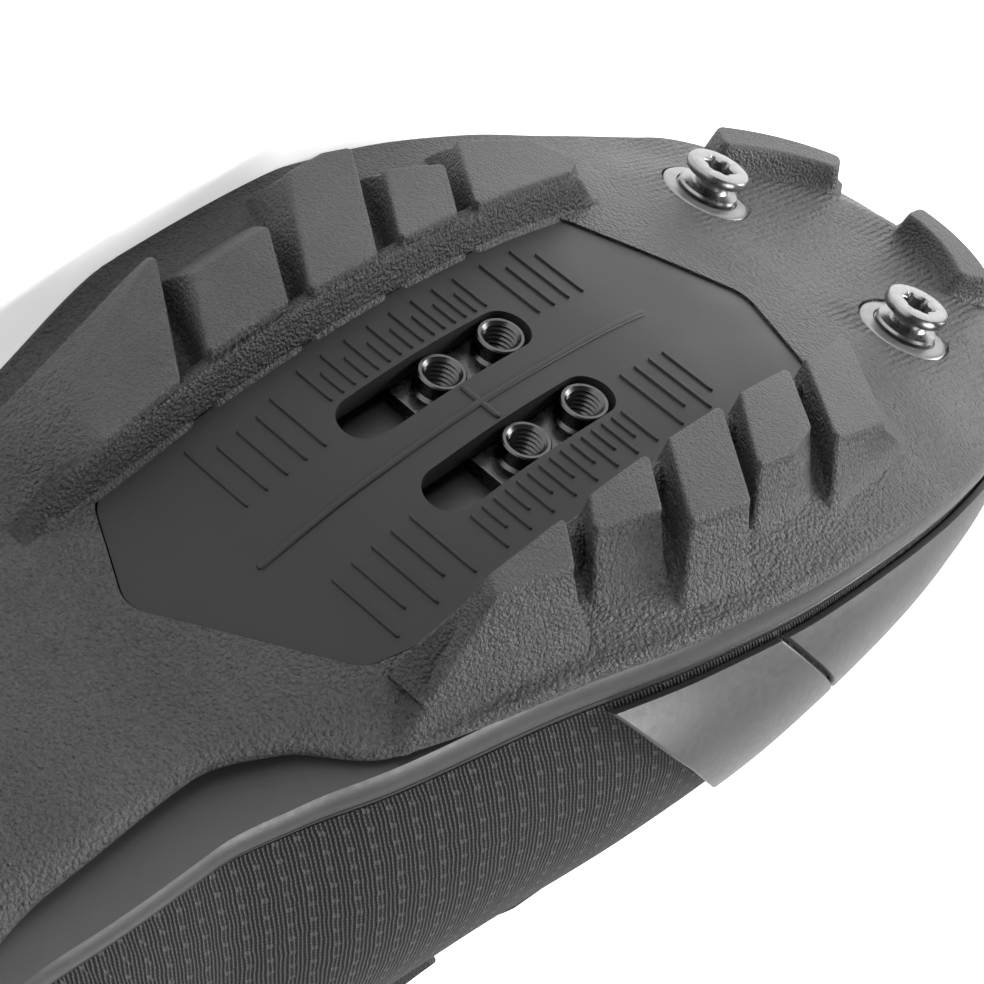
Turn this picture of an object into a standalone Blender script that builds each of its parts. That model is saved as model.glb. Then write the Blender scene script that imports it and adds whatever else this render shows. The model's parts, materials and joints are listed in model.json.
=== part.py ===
"""Right cycling shoe for two-bolt cleats, lying on its outer side.

The shoe is laid out in its own frame: the origin is the middle of the cleat slots, on the face of
the cleat plate, +X runs to the toe, +Y to the inner (medial) side and +Z up into the shoe. At the
end the whole shoe is tipped on its outer side, so that the edge of the sole and the side of the
upper both touch the ground, and the origin goes to the middle of its footprint.
"""

import math

import bmesh
import bpy
import numpy as np
from mathutils import Matrix, Vector

# Driving sizes of the last and the sole, in metres
OUTSOLE_LENGTH = 0.280
CLEAT_TO_TOE = 0.109
BALL_BREADTH = 0.086
TOE_SPRING = 0.025
FEATHER_HEIGHT = 0.012
INSTEP_HEIGHT = 0.097

# Walls and layers
UPPER_WALL = 0.002
COLLAR_PADDING = 0.003
OVERLAY_WALL = 0.0009
STRAP_WALL = 0.0018
TONGUE_WALL = 0.004
TREAD_BASE = 0.002
EDGE_RISE = 0.0032
EDGE_LEDGE = 0.001
RAND_WALL = 0.003
FOOTBED_DROP = 0.002
INSOLE_WALL = 0.0035
FIT = 0.0003

# Tread blocks
BLOCK_HEIGHT = 0.006
TOE_BLOCK_HEIGHT = 0.0038
BLOCK_INNER_RUN = 0.0004
BLOCK_END_RUN = 0.0007
BLOCK_ROOT = 0.0006
BLOCK_ROW_MEDIAL = 0.0205
BLOCK_ROW_LATERAL = 0.0212
# Blocks that follow the edge: cuts along each, degrees by which the feet run past the tops, and
# shares of the way out: of the bend in the foot, and of how far the outer foot runs past the top
EDGE_BLOCK_CUTS = 5
EDGE_BLOCK_FLARE = 0.8
EDGE_BLOCK_BEND = 0.76
EDGE_BLOCK_PAST = 0.03
EDGE_BLOCK_LIMIT = 0.99

# Cleat plate, its slots and the threaded plate that slides behind them
PLATE_LENGTH = 0.104
PLATE_BREADTH = 0.040
PLATE_RECESS = 0.0004
PLATE_WALL = 0.0024
PLATE_BACK = 0.0042
PLATE_CORNER = 0.004
SLOT_SPACING = 0.014
SLOT_WIDTH = 0.0069
SLOT_LENGTH = 0.0325
NUT_WALL = 0.002
NUT_MARGIN = 0.0055
NUT_PITCH = 0.011
NUT_FORWARD = 0.0067
NUT_TRAVEL = 0.013
BOSS_RADIUS = 0.00315
BOSS_RECESS = 0.0017
THREAD_RADIUS = 0.0024
POCKET_PLAY = 0.0009

# Toe studs
STUD_ALONG = 0.0750
STUD_MIDDLE = 0.0010
STUD_SPACING = 0.0354
STUD_HEAD_RADIUS = 0.0048
STUD_HEIGHT = 0.0046
STUD_DISC_RADIUS = 0.0068
STUD_DISC_WALL = 0.0008
STUD_POCKET = 0.0010

# Density of each material in kilograms per litre, which decides how the shoe lies
DENSITIES = {
    "outsole_rubber": 1.2,
    "midsole_rubber": 1.2,
    "plate_nylon": 1.05,
    "dark_steel": 7.85,
    "mesh_cloth": 0.3,
    "overlay_film": 1.05,
    "strap_webbing": 0.3,
    "lining_cloth": 0.3,
}

HEEL_END = CLEAT_TO_TOE - OUTSOLE_LENGTH
MIDDLE = (CLEAT_TO_TOE + HEEL_END) / 2

# Grid of the curved pieces: places round half of the upper and round the sole, shares of the ribs
# from the feather line up, and shares of the way out from the spine for the tread and the footbed
RIBS = 32
SOLE_RIBS = 62
RIB_ROWS = np.array([0.0, 0.06, 0.13, 0.22, 0.33, 0.46, 0.60, 0.74, 0.88, 1.0])
TREAD_ROWS = np.array([0.0, 0.45, 0.72, 0.87, 1.0])
BED_ROWS = np.array([0.0, 0.5, 1.0])
SIDE_CROWDING = 0.15


def columns(names, *rows):
    """A table as one array for each named column."""
    return dict(zip(names.split(), np.array(rows, float).T))


# The feather line seen from below. along: share of the length from the heel end. middle: centre
# line, share of BALL_BREADTH. breadth: half breadth, over that of an ellipse as long as the sole,
# share of BALL_BREADTH. tuck: how far the rubber turns in under the arch, share of the half breadth.
OUTLINE = columns(
    "along middle breadth tuck",
    (0.000, -0.070, 0.745, 0.00),
    (0.040, -0.072, 0.740, 0.00),
    (0.093, -0.076, 0.635, 0.00),
    (0.164, -0.081, 0.510, 0.00),
    (0.254, -0.087, 0.384, 0.10),
    (0.325, -0.091, 0.334, 0.21),
    (0.396, -0.093, 0.334, 0.25),
    (0.432, -0.085, 0.352, 0.19),
    (0.468, -0.072, 0.382, 0.05),
    (0.539, -0.060, 0.443, 0.00),
    (0.611, -0.033, 0.500, 0.00),
    (0.682, -0.003, 0.530, 0.00),
    (0.754, 0.017, 0.553, 0.00),
    (0.825, 0.034, 0.582, 0.00),
    (0.886, 0.042, 0.635, 0.00),
    (0.932, 0.048, 0.693, 0.00),
    (0.968, 0.052, 0.726, 0.00),
    (1.000, 0.052, 0.745, 0.00),
)

# Side view of the sole. floor: the tread's floor, and feather: the top of the rand less
# FEATHER_HEIGHT, both as shares of TOE_SPRING above the cleat.
SIDE_LINE = columns(
    "along floor feather",
    (0.000, -0.13, 0.30),
    (0.040, -0.25, 0.28),
    (0.110, -0.29, 0.26),
    (0.195, -0.25, 0.26),
    (0.225, -0.05, 0.27),
    (0.260, 0.26, 0.29),
    (0.300, 0.38, 0.31),
    (0.345, 0.405, 0.32),
    (0.396, 0.365, 0.29),
    (0.468, 0.215, 0.18),
    (0.539, 0.054, 0.054),
    (0.611, 0.000, 0.000),
    (0.682, 0.053, 0.053),
    (0.771, 0.256, 0.256),
    (0.825, 0.440, 0.440),
    (0.896, 0.675, 0.675),
    (1.000, 1.000, 1.000),
)

# Ribs of the upper, each from the feather line to the ridge over the foot or to the collar.
# along: foot of the rib, share of the length. top: its end, share of the length. high: its end,
# share of INSTEP_HEIGHT. middle and half: centre and half breadth at its end, shares of
# BALL_BREADTH. rise, swell: how the rib leaves the feather line, shares of INSTEP_HEIGHT and
# BALL_BREADTH. reach, lift: how it comes in at its end, the same shares. open: share of the rib
# that the throat leaves open.
RIB_LINE = columns(
    "along top high middle half rise swell reach lift open",
    (0.000, -0.014, 0.770, -0.070, 0.000, 0.22, 0.085, 0.015, -0.13, 0.00),
    (0.020, 0.004, 0.750, -0.070, 0.155, 0.22, 0.085, 0.015, -0.13, 0.00),
    (0.070, 0.055, 0.700, -0.072, 0.300, 0.22, 0.095, 0.020, -0.13, 0.00),
    (0.140, 0.125, 0.672, -0.075, 0.375, 0.22, 0.125, 0.020, -0.13, 0.00),
    (0.220, 0.205, 0.705, -0.078, 0.375, 0.24, 0.160, 0.020, -0.14, 0.00),
    (0.300, 0.275, 0.845, -0.070, 0.290, 0.27, 0.185, 0.060, -0.14, 0.00),
    (0.335, 0.310, 0.945, -0.060, 0.150, 0.29, 0.190, 0.150, -0.07, 0.02),
    (0.370, 0.345, 1.000, -0.050, 0.000, 0.30, 0.190, 0.240, 0.00, 0.13),
    (0.440, 0.410, 0.920, -0.035, 0.000, 0.27, 0.190, 0.300, 0.00, 0.14),
    (0.520, 0.490, 0.825, -0.010, 0.000, 0.24, 0.190, 0.330, 0.00, 0.13),
    (0.610, 0.575, 0.745, 0.010, 0.000, 0.22, 0.180, 0.330, 0.00, 0.12),
    (0.675, 0.635, 0.703, 0.025, 0.000, 0.21, 0.160, 0.325, 0.00, 0.09),
    (0.700, 0.657, 0.689, 0.030, 0.000, 0.20, 0.150, 0.320, 0.00, 0.00),
    (0.780, 0.730, 0.652, 0.040, 0.000, 0.18, 0.115, 0.310, 0.00, 0.00),
    (0.860, 0.800, 0.622, 0.045, 0.000, 0.16, 0.075, 0.280, 0.00, 0.00),
    (0.930, 0.860, 0.598, 0.048, 0.000, 0.14, 0.045, 0.220, 0.00, 0.00),
    (0.975, 0.895, 0.578, 0.050, 0.000, 0.13, 0.025, 0.170, 0.00, 0.00),
    (1.000, 0.911, 0.568, 0.050, 0.000, 0.13, 0.015, 0.140, 0.00, 0.00),
)

# Tread blocks beside the cleat plate, as shares of BALL_BREADTH. side: 1 medial, -1 lateral.
# rear, front: ends of the top's inner edge. fold_rear, fold_front: ends of its outer edge, and
# out_rear, out_front: how far out they lie. foot: how far out the block meets the sole.
BLOCKS = columns(
    "side rear front fold_rear fold_front out_rear out_front foot",
    (-1, -0.500, -0.343, -0.600, -0.232, 0.335, 0.425, 0.420),
    (-1, -0.297, -0.145, -0.213, -0.053, 0.372, 0.383, 0.450),
    (-1, -0.101, 0.034, 0.034, 0.135, 0.426, 0.386, 0.500),
    (-1, 0.080, 0.210, 0.178, 0.279, 0.379, 0.345, 0.425),
    (-1, 0.248, 0.510, 0.353, 0.515, 0.381, 0.315, 0.430),
    (1, -0.300, -0.123, -0.345, -0.179, 0.262, 0.307, 0.343),
    (1, -0.072, 0.056, -0.113, -0.010, 0.281, 0.317, 0.349),
    (1, 0.102, 0.231, 0.000, 0.107, 0.360, 0.385, 0.425),
    (1, 0.278, 0.412, 0.172, 0.319, 0.351, 0.340, 0.386),
    (1, 0.460, 0.605, 0.336, 0.451, 0.379, 0.398, 0.425),
)

# Blocks that follow the edge at toe and heel. start, stop: turn round the sole in degrees from the
# toe, over the medial side. outer, inner, foot: shares of the way out from the sole's spine.
EDGE_BLOCKS = columns(
    "start stop outer inner foot",
    (-1.5, 17.0, 0.965, 0.83, 0.76),
    (-29.5, -13.0, 0.965, 0.83, 0.74),
    (117.5, 124.5, 0.93, 0.42, 0.34),
    (127.5, 135.5, 0.95, 0.46, 0.38),
    (139.0, 149.5, 0.96, 0.52, 0.44),
    (153.5, 176.0, 0.96, 0.60, 0.50),
    (184.0, 206.5, 0.96, 0.60, 0.50),
    (210.5, 221.0, 0.96, 0.52, 0.44),
    (224.5, 232.5, 0.95, 0.46, 0.38),
    (235.5, 242.5, 0.93, 0.42, 0.34),
)

# Corners of the cleat plate. along: share of PLATE_LENGTH, across: share of PLATE_BREADTH.
PLATE_CORNERS = columns(
    "along across",
    (-0.415, -0.490),
    (0.375, -0.490),
    (0.518, 0.090),
    (0.450, 0.490),
    (-0.290, 0.490),
    (-0.355, 0.430),
    (-0.480, -0.160),
)

# Pieces laid on the outside of the upper: places round the feather line are shares of the way from
# toe (0) over the medial side to the heel (1) and on over the lateral side to the toe (2). foot and
# top: shares of the ribs. lean: how much further forward its edges stand for each share of rib.
OVERLAYS = {
    "toe_cap": columns("start stop foot top lean", (-0.394, 0.394, 0.015, 0.58, 0.18)),
    "overlay_medial": columns("start stop foot top lean", (0.400, 0.459, 0.015, 0.50, 0.18)),
    "overlay_lateral": columns("start stop foot top lean", (-0.459, -0.400, 0.015, 0.50, 0.18)),
    "heel_counter": columns("start stop foot top lean", (0.750, 1.250, 0.015, 0.46, 0.0)),
}

# Straps over the throat. start: foot of the strap's front edge, share of the way from toe to heel.
# wide: its width in the same shares. medial, lateral: how far down the ribs its two ends reach.
STRAPS = columns(
    "start wide medial lateral",
    (0.400, 0.042, 0.46, 0.52),
    (0.458, 0.042, 0.46, 0.52),
    (0.516, 0.046, 0.44, 0.50),
)

# Tongue. along: share of the way along the throat, up to 1 at its top end and past it. half: how
# much of the ribs it covers, share of their length.
TONGUE = columns(
    "along half",
    (-0.10, 0.16),
    (0.20, 0.22),
    (0.75, 0.24),
    (0.92, 0.19),
    (1.04, 0.125),
    (1.25, 0.120),
    (1.36, 0.080),
)
TONGUE_FRONT = 0.67
TONGUE_BACK = 0.37
TONGUE_CURL = math.radians(38)


def smooth(keys, values, at):
    """Piecewise cubic through the rows that never overshoots them."""
    step = np.diff(keys)
    slope = np.diff(values) / step
    tangent = np.zeros_like(values)
    same_way = slope[:-1] * slope[1:] > 0
    weight_a = 2 * step[1:] + step[:-1]
    weight_b = step[1:] + 2 * step[:-1]
    safe_a = np.where(same_way, slope[:-1], 1.0)
    safe_b = np.where(same_way, slope[1:], 1.0)
    mean = (weight_a + weight_b) / (weight_a / safe_a + weight_b / safe_b)
    tangent[1:-1] = np.where(same_way, mean, 0.0)
    tangent[0], tangent[-1] = slope[0], slope[-1]
    at = np.clip(at, keys[0], keys[-1])
    row = np.clip(np.searchsorted(keys, at, side="right") - 1, 0, len(step) - 1)
    gap = step[row]
    part = (at - keys[row]) / gap
    near = values[row] * (1 + 2 * part) * (1 - part) ** 2 + tangent[row] * gap * part * (1 - part) ** 2
    far = values[row + 1] * part**2 * (3 - 2 * part) + tangent[row + 1] * gap * part**2 * (part - 1)
    return near + far


def read(table, name, along):
    """A column of a table at a share of the length, rounded off at heel and toe."""
    keys = np.arccos(1 - 2 * table["along"])
    return smooth(keys, table[name], np.arccos(1 - 2 * np.clip(along, 0.0, 1.0)))


def ease(value):
    """From 0 to 1 with level ends."""
    value = np.clip(value, 0.0, 1.0)
    return value * value * (3 - 2 * value)


def share(x):
    """Share of the length at x, from the heel end."""
    return (x - HEEL_END) / OUTSOLE_LENGTH


def floor_height(x):
    return TOE_SPRING * read(SIDE_LINE, "floor", share(x))


def feather_height(x):
    return FEATHER_HEIGHT + TOE_SPRING * read(SIDE_LINE, "feather", share(x))


def feather_plan(turn):
    """Plan of the feather line at an angle from the toe, over the medial side."""
    along = (1 + np.cos(turn)) / 2
    x = HEEL_END + OUTSOLE_LENGTH * along
    half = BALL_BREADTH * read(OUTLINE, "breadth", along) * np.sin(turn)
    return np.stack([x, BALL_BREADTH * read(OUTLINE, "middle", along) + half], -1)


def plan_normal(turn):
    """Direction out of the feather line, in plan."""
    ahead = feather_plan(turn + 0.004) - feather_plan(turn - 0.004)
    out = np.stack([ahead[..., 1], -ahead[..., 0]], -1)
    return out / np.linalg.norm(out, axis=-1, keepdims=True)


def spine(turn):
    """Middle line of the sole, which stops short of both ends by the ball's third."""
    reach = OUTSOLE_LENGTH / 2 - BALL_BREADTH / 3
    x = MIDDLE + reach * np.cos(turn)
    return np.stack([x, BALL_BREADTH * read(OUTLINE, "middle", share(x))], -1)


def sole_plan(turn, out, grow=0.0):
    """From the spine (out = 0) to the feather line (out = 1), grown by a length."""
    edge = feather_plan(turn) + plan_normal(turn) * grow
    middle = spine(turn)
    return middle + (edge - middle) * np.asarray(out)[..., None]


def shoulder(out):
    """The tread's floor turns up over the outer third of the way to its edge."""
    return EDGE_RISE * ease((out - 0.70) / 0.30)


def rubber_reach(turns):
    """How far out the outsole's rubber goes: it turns in under the arch, on the inner side only."""
    tuck = read(OUTLINE, "tuck", (1 + np.cos(turns)) / 2)
    return 1 - np.where(np.sin(turns) > 0, tuck, 0.0)


def sole_sheet(turns, outs, lift, grow=0.0, shrink=None):
    """Grid of points over the sole, a height above its floor."""
    turn, out = np.meshgrid(turns, outs, indexing="ij")
    if shrink is not None:
        out = out * shrink[:, None]
    plan = sole_plan(turn, out, grow)
    height = floor_height(plan[..., 0]) + shoulder(out) + lift
    return np.concatenate([plan, height[..., None]], -1)


def rib(turn, up):
    """Outside of the upper: a cubic from the feather line to the ridge or the collar."""
    along = (1 + np.cos(turn)) / 2
    side = np.where(np.sin(turn) >= 0, 1.0, -1.0)
    column = {name: read(RIB_LINE, name, along) for name in RIB_LINE if name != "along"}
    foot = feather_plan(turn)
    normal = plan_normal(turn)
    start = np.concatenate([foot, feather_height(foot[..., 0])[..., None] + FIT], -1)
    top_x = HEEL_END + OUTSOLE_LENGTH * column["top"]
    top_y = BALL_BREADTH * (column["middle"] + side * column["half"])
    top = np.stack([top_x, top_y, INSTEP_HEIGHT * column["high"]], -1)
    past, short = np.clip(along + 0.002, 0.0, 1.0), np.clip(along - 0.002, 0.0, 1.0)
    climb = INSTEP_HEIGHT * (read(RIB_LINE, "high", past) - read(RIB_LINE, "high", short))
    travel = OUTSOLE_LENGTH * (read(RIB_LINE, "top", past) - read(RIB_LINE, "top", short))
    on_ridge = np.where(column["half"] <= 0, 1.0, 0.0)
    reach = BALL_BREADTH * column["reach"]
    leave = np.concatenate([normal * (BALL_BREADTH * column["swell"])[..., None],
                            (INSTEP_HEIGHT * column["rise"])[..., None]], -1)
    drop = INSTEP_HEIGHT * column["lift"] + reach * normal[..., 0] * on_ridge * climb / travel
    arrive = np.concatenate([normal * reach[..., None], drop[..., None]], -1)
    up = np.asarray(up)[..., None]
    return ((1 - up) ** 3 * start + 3 * (1 - up) ** 2 * up * (start + leave)
            + 3 * (1 - up) * up**2 * (top + arrive) + up**3 * top)


def rib_normal(turn, up):
    """Direction out of the upper, the same on both sides of the ridge."""
    def one_side(turn):
        level = np.clip(up, 0.004, 0.980)
        round_it = rib(turn + 0.003, level) - rib(turn - 0.003, level)
        along_it = rib(turn, level + 0.003) - rib(turn, level - 0.003)
        out = np.cross(round_it, along_it)
        return out / np.linalg.norm(out, axis=-1, keepdims=True)

    ridge = np.where(read(RIB_LINE, "half", (1 + np.cos(turn)) / 2) <= 0, 1.0, 0.0)
    mirror = one_side(-turn)
    normal = one_side(turn) + mirror * (ridge * ease((np.asarray(up) - 0.86) / 0.14))[..., None]
    return normal / np.linalg.norm(normal, axis=-1, keepdims=True)


def skin(turn, up, out=0.0):
    """Outside of the upper, moved out by a length."""
    turn, up = np.broadcast_arrays(np.asarray(turn, float), np.asarray(up, float))
    return rib(turn, up) + rib_normal(turn, up) * np.asarray(out)[..., None]


def material(name, colour, roughness, metallic=0.0):
    """A plain finish for a piece."""
    finish = bpy.data.materials.new(name)
    finish.use_nodes = True
    shader = finish.node_tree.nodes["Principled BSDF"]
    shader.inputs["Base Color"].default_value = (*colour, 1.0)
    shader.inputs["Roughness"].default_value = roughness
    shader.inputs["Metallic"].default_value = metallic
    return finish


def add_object(name, bm, finish=None, guide=False):
    """A closed mesh as a named object, smooth but for its sharp edges."""
    bmesh.ops.remove_doubles(bm, verts=bm.verts, dist=0.000001)
    bmesh.ops.dissolve_degenerate(bm, edges=bm.edges, dist=0.0000005)
    mesh = bpy.data.meshes.new(name)
    bm.to_mesh(mesh)
    bm.free()
    mesh.shade_smooth()
    mesh.set_sharp_from_angle(angle=math.radians(30))
    item = bpy.data.objects.new(name, mesh)
    bpy.context.collection.objects.link(item)
    if finish is not None:
        mesh.materials.append(finish)
    if guide:
        item.hide_render = True
        item.display_type = "WIRE"
    return item


def boolean(item, other, operation):
    """Cut or join one object with another, kept as a modifier."""
    step = item.modifiers.new(operation.lower() + "_" + other.name, "BOOLEAN")
    step.operation = operation
    step.solver = "EXACT"
    step.object = other


def grid_faces(bm, corners, flip=False, closed=False):
    """Triangles between the rows of a grid of vertices, split the same way in every sheet."""
    rows = len(corners)
    for i in range(rows if closed else rows - 1):
        here, there = corners[i], corners[(i + 1) % rows]
        for j in range(len(here) - 1):
            for loop in ([here[j], there[j], there[j + 1]], [here[j], there[j + 1], here[j + 1]]):
                bm.faces.new(loop[::-1] if flip else loop)


def grid_vertices(bm, points):
    return [[bm.verts.new(point) for point in row] for row in points.tolist()]


def shell(name, outer, inner, finish, closed=False, welded=None):
    """Two sheets joined round their edges. A welded row has no rim at its last point."""
    bm = bmesh.new()
    outside, inside = grid_vertices(bm, outer), grid_vertices(bm, inner)
    grid_faces(bm, outside, closed=closed)
    grid_faces(bm, inside, flip=True, closed=closed)
    rows = len(outside)
    for i in range(rows if closed else rows - 1):
        k = (i + 1) % rows
        bm.faces.new([outside[k][0], outside[i][0], inside[i][0], inside[k][0]])
        if welded is None or not (welded[i] and welded[k]):
            bm.faces.new([outside[i][-1], outside[k][-1], inside[k][-1], inside[i][-1]])
    if not closed:
        for j in range(len(outside[0]) - 1):
            bm.faces.new([outside[0][j], outside[0][j + 1], inside[0][j + 1], inside[0][j]])
            bm.faces.new([outside[-1][j + 1], outside[-1][j], inside[-1][j], inside[-1][j + 1]])
    return add_object(name, bm, finish)


def hull(bm, points):
    """The smallest closed block round some points."""
    corners = [bm.verts.new(point) for point in points]
    bmesh.ops.convex_hull(bm, input=corners, use_existing_faces=False)


def rounded(corners, radius, steps=4):
    """A closed outline with an arc at each corner."""
    outline = []
    for i, corner in enumerate(corners):
        before, after = corners[i - 1], corners[(i + 1) % len(corners)]
        into = (corner - before) / np.linalg.norm(corner - before)
        away = (after - corner) / np.linalg.norm(after - corner)
        turn = math.acos(np.clip(into @ away, -1.0, 1.0))
        back = radius * math.tan(turn / 2)
        side = np.array([-into[1], into[0]]) * np.sign(into[0] * away[1] - into[1] * away[0])
        centre = corner - into * back + side * radius
        for k in range(steps + 1):
            angle = turn * k / steps
            outline.append(centre - side * radius * math.cos(angle) + into * radius * math.sin(angle))
    return np.array(outline)


def slab(bm, outline, low, high, stations=()):
    """A plate of the outline between two heights that depend on x, cut across at some stations."""
    face = bm.faces.new([bm.verts.new((x, y, 0.0)) for x, y in outline])
    flat = bmesh.ops.triangulate(bm, faces=[face])["faces"] if not len(stations) else [face]
    for x in stations:
        parts = list(set(flat)) + list({e for f in flat for e in f.edges})
        parts += list({v for f in flat for v in f.verts})
        bmesh.ops.bisect_plane(bm, geom=parts, plane_co=(x, 0, 0), plane_no=(1, 0, 0), dist=1e-7)
        known = {v for f in flat if f.is_valid for v in f.verts}
        flat = [f for f in bm.faces if any(v in known for v in f.verts)]
    lower = list({v for f in flat for v in f.verts})
    result = bmesh.ops.extrude_face_region(bm, geom=flat, use_keep_orig=True)
    upper = [item for item in result["geom"] if isinstance(item, bmesh.types.BMVert)]
    for vert in upper:
        vert.co.z = float(high(vert.co.x))
    for vert in lower:
        vert.co.z = float(low(vert.co.x))
    bmesh.ops.recalc_face_normals(bm, faces=bm.faces)


def level(height):
    return lambda x: height


def full_turn(count):
    return np.arange(count) * 2 * math.pi / count


def sole_turns():
    """Places round the sole, closer together along its sides than at its ends."""
    turns = full_turn(SOLE_RIBS)
    return turns + SIDE_CROWDING * np.sin(2 * turns)


def plate_outline(grow=0.0):
    """Outline of the cleat plate, grown by a clearance."""
    corners = np.stack([PLATE_CORNERS["along"] * PLATE_LENGTH,
                        PLATE_CORNERS["across"] * PLATE_BREADTH], -1)
    outline = rounded(corners, PLATE_CORNER)
    ahead = np.roll(outline, -1, axis=0) - np.roll(outline, 1, axis=0)
    out = np.stack([ahead[:, 1], -ahead[:, 0]], -1)
    return outline + out / np.linalg.norm(out, axis=1, keepdims=True) * grow


def plate_face(x):
    return floor_height(x) + PLATE_RECESS


def plate_back(x):
    return np.maximum(PLATE_BACK, floor_height(x) + PLATE_WALL)


def plate_stations():
    return np.arange(-7, 9) * PLATE_LENGTH / 16


def make_outsole(finish):
    """Rubber sheet with its tread blocks, the plate's window and the studs' pockets."""
    turns = sole_turns()
    low = sole_sheet(turns, TREAD_ROWS, 0.0, EDGE_LEDGE, rubber_reach(turns))
    high = sole_sheet(turns, TREAD_ROWS, TREAD_BASE, EDGE_LEDGE, rubber_reach(turns))
    bm = bmesh.new()
    bottom, top = grid_vertices(bm, low), grid_vertices(bm, high)
    grid_faces(bm, bottom, closed=True)
    grid_faces(bm, top, flip=True, closed=True)
    for i in range(len(bottom)):
        k = (i + 1) % len(bottom)
        bm.faces.new([bottom[i][-1], bottom[k][-1], top[k][-1], top[i][-1]])
    outsole = add_object("outsole", bm, finish)

    window = bmesh.new()
    slab(window, plate_outline(FIT), lambda x: floor_height(x) - 0.003,
         lambda x: floor_height(x) + 2 * TREAD_BASE, plate_stations())
    boolean(outsole, add_object("plate_window", window, guide=True), "DIFFERENCE")

    pockets = bmesh.new()
    for side in (-1, 1):
        bmesh.ops.create_cone(pockets, cap_ends=True, segments=28, depth=0.006,
                              radius1=STUD_DISC_RADIUS + FIT, radius2=STUD_DISC_RADIUS + FIT,
                              matrix=stud_frame(side) @ Matrix.Translation((0, 0, -STUD_POCKET + 0.003)))
    boolean(outsole, add_object("stud_pockets", pockets, guide=True), "DIFFERENCE")

    blocks = bmesh.new()
    for i in range(len(BLOCKS["side"])):
        row = {name: values[i] for name, values in BLOCKS.items()}
        hull(blocks, block_points(row))
    for i in range(len(EDGE_BLOCKS["start"])):
        row = {name: values[i] for name, values in EDGE_BLOCKS.items()}
        edge_block(blocks, row)
    boolean(outsole, add_object("tread_blocks", blocks, guide=True), "UNION")
    return outsole


def tread_height(x, y):
    """Height of the sole's face at a place beside the plate."""
    middle = BALL_BREADTH * read(OUTLINE, "middle", share(x))
    along = np.clip(share(x), 0.01, 0.99)
    ellipse = 2 * np.sqrt(along * (1 - along))
    half = BALL_BREADTH * read(OUTLINE, "breadth", share(x)) * ellipse + EDGE_LEDGE
    return floor_height(x) + shoulder(np.abs(y - middle) / half)


def block_points(row):
    """Corners of a tread block: its top, and its foot sunk into the rubber sheet."""
    side = row["side"]
    inner = BLOCK_ROW_MEDIAL if side > 0 else BLOCK_ROW_LATERAL
    points = []
    for end, way in (("rear", -1), ("front", 1)):
        inside = np.array([row[end] * BALL_BREADTH, inner])
        fold = np.array([row["fold_" + end], row["out_" + end]]) * BALL_BREADTH
        slant = np.clip((fold[0] - inside[0]) / (fold[1] - inside[1]), -1.0, 1.0)
        foot_y = row["foot"] * BALL_BREADTH + (fold[1] - BALL_BREADTH * row["out_rear"]) / 2
        foot = np.array([fold[0] + slant * (foot_y - fold[1]), foot_y])
        for place in (inside, fold):
            height = floor_height(place[0]) - BLOCK_HEIGHT
            points.append((place[0], side * place[1], float(height)))
        root = inside + np.array([way * BLOCK_END_RUN, -BLOCK_INNER_RUN])
        for place, sunk in ((root, BLOCK_ROOT), (foot + np.array([way * BLOCK_END_RUN, 0.0]), -BLOCK_ROOT)):
            height = tread_height(place[0], side * place[1]) + sunk
            points.append((place[0], side * place[1], float(height)))
    return points


def edge_block(bm, row):
    """A block that follows the edge of the sole, as a closed bar."""
    turns = np.radians(np.linspace(row["start"], row["stop"], EDGE_BLOCK_CUTS))
    at_toe = np.cos(turns).mean() > 0
    height = TOE_BLOCK_HEIGHT if at_toe else BLOCK_HEIGHT
    past = EDGE_BLOCK_FLARE
    ends = np.radians(np.linspace(row["start"] - past, row["stop"] + past, EDGE_BLOCK_CUTS))
    rings = []
    bend = max(row["foot"] + 0.05, EDGE_BLOCK_BEND)
    outer_foot = min(row["outer"] + EDGE_BLOCK_PAST, EDGE_BLOCK_LIMIT)
    for turn, out, drop in ((turns, row["outer"], -height), (turns, row["inner"], -height),
                            (ends, row["foot"], None), (ends, bend, None),
                            (ends, outer_foot, None)):
        plan = sole_plan(turn, np.full(turn.shape, out), EDGE_LEDGE)
        rise = floor_height(plan[:, 0])
        rise = rise + (drop if drop is not None else shoulder(out) + BLOCK_ROOT)
        rings.append(np.concatenate([plan, rise[:, None]], -1))
    corners = grid_vertices(bm, np.stack(rings, 1))
    sides = len(rings)
    for i in range(len(corners) - 1):
        for j in range(sides):
            k = (j + 1) % sides
            bm.faces.new([corners[i][j], corners[i][k], corners[i + 1][k], corners[i + 1][j]])
    bm.faces.new(corners[0][::-1])
    bm.faces.new(corners[-1])
    bmesh.ops.recalc_face_normals(bm, faces=bm.faces)


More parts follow.
